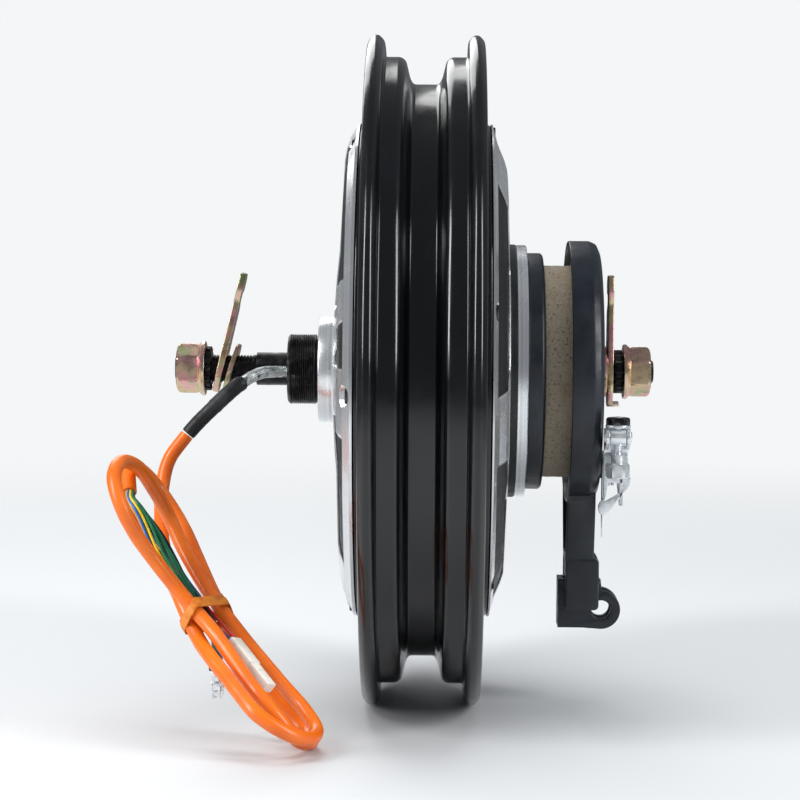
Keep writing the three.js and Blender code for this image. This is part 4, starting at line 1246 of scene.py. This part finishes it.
piece_from("right_arm_plate", arm, "zinc_steel", "axle_assembly", "right_torque_arm")

# ---------- brake drum and its cover ----------

spacer = rounded([(14.5, 50.4), (58.4, 50.4), (58.8, 50.8), (58.8, 57.2), (57.6, 58.4), (14.5, 58.4)], 0.5)
piece_from("drum_spacer", lathe_mesh("drum_spacer", spacer, 192), "black_cast", "wheel", "drum_spacer_ring")


def drum_shape(r, y, a):
    if r > 50:
        r += 0.06 * math.sin(3 * a) + 0.05 * math.sin(11 * a + y) - 0.12
        seam = math.degrees(a) % 180 - 41
        r += 0.22 * math.exp(-((seam / 0.7) ** 2))
    return r * math.cos(a), y, r * math.sin(a)


drum_profile = rounded(
    [(14.5, 58.6), (52.8, 58.6), (52.8, 79.4), (46, 79.4), (46, 64.5), (14.5, 64.5)],
    0.8,
)
dense_drum = []
for (r0, y0), (r1, y1) in zip(drum_profile, drum_profile[1:] + drum_profile[:1]):
    count = max(1, round(math.hypot(r1 - r0, y1 - y0) / 1.5))
    dense_drum += [(r0 + (r1 - r0) * k / count, y0 + (y1 - y0) * k / count) for k in range(count)]
piece_from(
    "iron_drum", lathe_mesh("iron_drum", dense_drum, 720, True, drum_shape), "cast_iron", "wheel",
    "brake_drum",
)

CAM_X = 52.1 * math.cos(math.radians(-56))
CAM_Z = 52.1 * math.sin(math.radians(-56))
PAN_IN_R = 62
pan = lathe_mesh(
    "pan",
    rounded(
        [
            (6.8, 83.5), (PAN_IN_R, 83.5), (PAN_IN_R, 71), (65, 71), (65, 81.5), (63.4, 84.8),
            (59.6, 86.5), (17, 86.5), (16, 88.7), (6.8, 88.7),
        ],
        0.7,
        4,
    ),
    224,
)
ARM_OUTLINE = [(-27, -45), (27, -45), (24, -66), (14, -95), (-14, -95), (-24, -66)]
ARM_HOLLOW = [(-24, -40), (24, -40), (21, -66), (12, -90), (-12, -90), (-21, -66)]
arm_shell = outline_mesh("arm_shell", soft_outline(ARM_OUTLINE, 3), [], 71, 85, 0.8)
housing = piece_from("brake_cover", arm_shell, "black_cast", "axle_assembly", "brake_housing")
carve(
    housing,
    lathe_mesh("hollow", [(0, 70), (PAN_IN_R, 70), (PAN_IN_R, 83.4), (0, 83.4)], 160),
    outline_mesh("hollow", ARM_HOLLOW, [], 70, 82, 0.0),
)
boss = lathe_mesh("boss", rounded([(4.1, 84), (7.5, 84), (7.5, 87.3), (4.1, 87.3)], 0.5), 64)
cheek_outline = soft_outline([(71, -92), (87.6, -92), (87.6, -118), (71, -118)], 2.5)
fork = [
    box_mesh("block", -8.9, 8.9, 71.3, 87.3, -102.9, -92.3, 0.8),
    outline_mesh("cheek", cheek_outline, [], 8.8, 15, 0.8, "X"),
    outline_mesh("cheek", cheek_outline, [], -15, -8.8, 0.8, "X"),
]
for x0, x1 in ((8.8, 14.9), (-14.9, -8.8)):
    bulge = lathe_mesh("bulge", rounded([(0, x0), (4, x0), (4, x1), (0, x1)], 0.8), 48)
    bulge.transform(
        Matrix.Translation((0, (84.2 + RIM_SHIFT) * MM, -0.1035))
        @ Matrix.Rotation(-math.pi / 2, 4, "Z")
        @ Matrix.Translation((0, -RIM_SHIFT * MM, 0))
    )
    fork.append(bulge)
housing.data = joined("brake_cover", [housing.data, pan, turned_about(boss, CAM_X, CAM_Z), *fork])
housing.data.materials.clear()
housing.data.materials.append(LOOKS["black_cast"].material)

CLEVIS_Y = 89.2
CLEVIS_Z = -118.6
ear_outline = [(67.6, -103.2), (88.9, -103.2)] + [
    (CLEVIS_Y + 9.6 * math.cos(math.radians(88 - i * 7)), CLEVIS_Z + 9.6 * math.sin(math.radians(88 - i * 7)))
    for i in range(27)
]
ear_outline += [(80, -127.6), (67.6, -127.6)]
hole = circle(4.75, CLEVIS_Y, CLEVIS_Z, 40)
clevis = joined(
    "clevis",
    [
        outline_mesh("ear", ear_outline, [hole], -8.5, -4.5, 0.5, "X"),
        outline_mesh("ear", ear_outline, [hole], 4.5, 8.5, 0.5, "X"),
        box_mesh("back", -8.4, 8.4, 67.6, 70.6, -127.5, -103.3, 0.5),
    ],
)
piece_from("clevis", clevis, "black_cast", "axle_assembly", "anchor_clevis")

# ---------- brake lever, its shaft and the cable anchor ----------

TRUNNION = (62, 92.9, -28)
HUB_R = 8.5
hub = [
    (CAM_X + HUB_R * math.cos(math.radians(60 + i * 10)), CAM_Z + HUB_R * math.sin(math.radians(60 + i * 10)))
    for i in range(21)
]
lever_plate = outline_mesh(
    "lever", hub + [(48, -62), (50.3, -62), (50.3, -40)], [circle(4.1, CAM_X, CAM_Z, 32)[::-1]], 94.6,
    96.4, 0.3,
)
web_points = [
    (87, -36), (87, -58), (84.4, -62), (85, -66), (88.5, -67), (100, -52), (100, -48), (98.6, -44),
    (98.6, -36),
]
window = [(89.4, -50.8), (96.9, -51.4), (95.4, -55.6), (87.6, -60.2)]
web = outline_mesh("web", soft_outline(web_points, 1.5), [window], 48.5, 50.3, 0.3, "X")
ear_points = [(48.5, -34.6), (56, -34.6)]
ear_points += [
    (
        TRUNNION[0] + 4.3 * math.cos(math.radians(a)), TRUNNION[2] + 4.3 * math.sin(math.radians(a)),
    ) for a in range(-80, 121, 10)
]
ear_points += [(50, -30.2), (48.5, -30.2)]
ears = [
    outline_mesh(
        "ear", ear_points, [circle(2.6, TRUNNION[0], TRUNNION[2], 28)[::-1]], y0, y1, 0.25,
    ) for y0, y1 in ((87, 88.8), (97, 98.8))
]
bridge = box_mesh("bridge", 48.5, 50.3, 87, 98.8, -38, -24.6, 0.3)
lever = joined("lever_plate", [lever_plate, web, *ears, bridge])
piece_from("lever_plate", lever, "bright_steel", "brake_lever_group", "brake_lever")

indicator_points = [
    (CAM_X - 5, CAM_Z), (CAM_X - 4, -68), (CAM_X - 1, -80), (CAM_X + 3, -68), (CAM_X + 5, CAM_Z),
]
indicator = joined(
    "pointer",
    [
        outline_mesh("pointer", indicator_points, [], 87.5, 88.25, 0.15),
        turned_about(
            lathe_mesh("eye", rounded([(4.1, 87.5), (6.2, 87.5), (6.2, 88.3), (4.1, 88.3)], 0.2), 48),
            CAM_X, CAM_Z,
        ),
    ],
)
piece_from("wear_pointer", indicator, "bright_steel", "brake_lever_group", "wear_indicator")

CRANK_X = 57.6 * math.cos(math.radians(-56))
CRANK_Z = 57.6 * math.sin(math.radians(-56))
shaft = joined(
    "cam_pin",
    [
        turned_about(
            lathe_mesh("shaft", rounded([(0, 82.9), (4.02, 82.9), (4.02, 97.4), (0, 97.4)], 0.6), 48),
            CAM_X, CAM_Z,
        ),
        turned_about(
            lathe_mesh("hub", rounded([(0, 79.8), (5.2, 79.8), (5.2, 83), (0, 83)], 0.3), 48), CAM_X,
            CAM_Z,
        ),
        turned_about(
            lathe_mesh("crank", rounded([(0, 79.8), (3.7, 79.8), (3.7, 83), (0, 83)], 0.3), 32),
            CRANK_X, CRANK_Z,
        ),
        turned_about(
            lathe_mesh("pin", rounded([(0, 74), (2, 74), (2, 80), (0, 80)], 0.3), 32), CRANK_X, CRANK_Z,
        ),
    ],
)
piece_from("cam_pin", shaft, "bright_steel", "brake_lever_group", "cam_shaft")

# The anchor's barrel lies along Y, its bolt and nut stand along Z
barrel = lathe_mesh(
    "barrel",
    rounded(
        [(0, 86.2), (2.5, 86.2), (2.5, 89.1), (4.2, 89.1), (4.2, 96.7), (2.5, 96.7), (2.5, 99.6), (0, 99.6)],
        0.35,
    ),
    56,
)
piece_from(
    "anchor_barrel", turned_about(barrel, TRUNNION[0], TRUNNION[2]), "bright_steel", "cable_anchor",
    "anchor_trunnion",
)


def standing(mesh):
    """Turns a mesh made along Y so that it stands along Z at the anchor."""
    home = Matrix.Translation((0, -RIM_SHIFT * MM, 0))
    return placed(
        mesh,
        Matrix.Translation(point(TRUNNION[0], TRUNNION[1], 0)) @ Matrix.Rotation(math.pi / 2, 4, "X") @ home,
    )


def hex_shape(flats, low, high):
    def shape(r, y, a):
        if low < y < high and r > 0.47 * flats:
            r = min(r, hex_radius(flats, a))
        return r * math.cos(a), y, r * math.sin(a)

    return shape


bolt_profile = [
    (0, -47.7), (4.6, -47.7), (5.3, -47.1), (5.77, -46.1), (5.77, -41.5), (5.4, -40.8), (4.9, -40.5),
    (3.1, -40.5), (3.1, -36.6), (2.9, -36.4), (2.15, -36.2),
]
bolt_profile += thread_rows(2.1, 0.8, -35.8, -18.6, 5)
bolt_profile += [(1.6, -18.2), (0, -18.2)]
bolt_thread = thread_shape(2.1, 0.3, 0.8, -35.8, -18.6)
head = hex_shape(10, -47.8, -40.7)


def bolt_shape(r, y, a):
    if y < -36.3:
        return head(r, y, a)
    return bolt_thread(r, y, a)


bolt = lathe_mesh("anchor_screw", bolt_profile, 72, True, bolt_shape)
piece_from("anchor_screw", standing(bolt), "bright_steel", "cable_anchor", "anchor_bolt")
nut_profile = [
    (2.2, -22.3), (5.75, -22), (5.75, -19.4), (5.3, -18.8), (4.8, -18.6), (2.6, -18.6), (2.2, -19),
]
nut = lathe_mesh("anchor_lock_nut", nut_profile, 72, True, hex_shape(10, -22.1, -18))
nut_washer = lathe_mesh("nut_washer", rounded([(2.2, -23.5), (6, -23.5), (6, -22.1), (2.2, -22.1)], 0.3), 64)
nut_piece = piece_from(
    "anchor_lock_nut", standing(joined("anchor_lock_nut", [nut, nut_washer])), "black_steel",
    "cable_anchor", "anchor_nut",
)
nut_piece.data.materials.clear()
nut_piece.data.materials.append(LOOKS["black_steel"].material)
nut_piece.data.materials.append(LOOKS["bright_steel"].material)
for poly in nut_piece.data.polygons:
    poly.material_index = 1 if poly.center.z < -0.02215 else 0

# The spring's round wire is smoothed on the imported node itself
spring = NODES["return_spring"]
weld = spring.modifiers.new("weld", "WELD")
weld.merge_threshold = 0.00001
smooth = spring.modifiers.new("smooth", "SUBSURF")
smooth.levels = 2
smooth.render_levels = 2

# ---------- stage ----------


FLOOR_COLOR = (0.57, 0.58, 0.59)
FADE_START = 0.35
FADE_END = 1.5
FLOOR_RADIUS = 3.0


def material_stage():
    stage_material = bpy.data.materials.new("pale_floor")
    stage_material.use_nodes = True
    nodes, links = stage_material.node_tree.nodes, stage_material.node_tree.links
    shader = nodes["Principled BSDF"]
    shader.inputs["Base Color"].default_value = (*FLOOR_COLOR, 1)
    shader.inputs["Roughness"].default_value = 0.55
    shader.inputs["Specular IOR Level"].default_value = 0.25
    coords = nodes.new("ShaderNodeTexCoord")
    length = nodes.new("ShaderNodeVectorMath")
    length.operation = "LENGTH"
    links.new(coords.outputs["Object"], length.inputs[0])
    fade = nodes.new("ShaderNodeMapRange")
    fade.interpolation_type = "SMOOTHSTEP"
    fade.inputs["From Min"].default_value = FADE_START
    fade.inputs["From Max"].default_value = FADE_END
    links.new(length.outputs["Value"], fade.inputs["Value"])
    clear = nodes.new("ShaderNodeBsdfTransparent")
    mix = nodes.new("ShaderNodeMixShader")
    links.new(fade.outputs["Result"], mix.inputs["Fac"])
    links.new(shader.outputs["BSDF"], mix.inputs[1])
    links.new(clear.outputs["BSDF"], mix.inputs[2])
    links.new(mix.outputs["Shader"], nodes["Material Output"].inputs["Surface"])
    return stage_material


def floor_mesh():
    bm = bmesh.new()
    bmesh.ops.create_circle(bm, cap_ends=True, radius=FLOOR_RADIUS, segments=96)
    mesh = mesh_from(bm, "floor", outward=False)
    return mesh


floor = bpy.data.objects.new("floor", floor_mesh())
bpy.context.collection.objects.link(floor)
floor.location.z = CAD_BOX[0].z - 0.0001
floor.data.materials.append(material_stage())

world = bpy.data.worlds.new("studio")
world.use_nodes = True
bpy.context.scene.world = world
wn, wl = world.node_tree.nodes, world.node_tree.links
SKY_TINT = (0.9, 0.95, 1.0)
DIFFUSE_SKY = 0.55
MIRRORED_SKY = 0.18


def background(node, color, strength):
    node.inputs["Color"].default_value = (*color, 1)
    node.inputs["Strength"].default_value = strength
    return node


seen = background(wn["Background"], srgb(244, 246, 247), 1.0)
soft = background(wn.new("ShaderNodeBackground"), SKY_TINT, DIFFUSE_SKY)
gloss = background(wn.new("ShaderNodeBackground"), SKY_TINT, MIRRORED_SKY)
path = wn.new("ShaderNodeLightPath")
first_mix = wn.new("ShaderNodeMixShader")
second_mix = wn.new("ShaderNodeMixShader")
wl.new(path.outputs["Is Glossy Ray"], first_mix.inputs["Fac"])
wl.new(soft.outputs["Background"], first_mix.inputs[1])
wl.new(gloss.outputs["Background"], first_mix.inputs[2])
wl.new(path.outputs["Is Camera Ray"], second_mix.inputs["Fac"])
wl.new(first_mix.outputs["Shader"], second_mix.inputs[1])
wl.new(seen.outputs["Background"], second_mix.inputs[2])
wl.new(second_mix.outputs["Shader"], wn["World Output"].inputs["Surface"])


def softbox(name, place, size, power, mirrored=True):
    light = bpy.data.lights.new(name, "AREA")
    light.shape = "RECTANGLE"
    light.size, light.size_y = size
    light.energy = power
    obj = bpy.data.objects.new(name, light)
    bpy.context.collection.objects.link(obj)
    obj.location = place
    obj.rotation_euler = (Vector(place) - Vector((0, 0, -0.02))).to_track_quat("Z", "Y").to_euler()
    obj.visible_glossy = mirrored
    return obj


softbox("key", (0.75, -1.3, 0.75), (0.45, 1.3), 24)
softbox("fill", (0.75, 1.35, 0.7), (0.45, 1.3), 20)
softbox("top", (-0.1, 0.0, 1.9), (1.2, 1.2), 22, False)
softbox("back", (-1.4, -0.5, 1.0), (1.0, 1.2), 10)
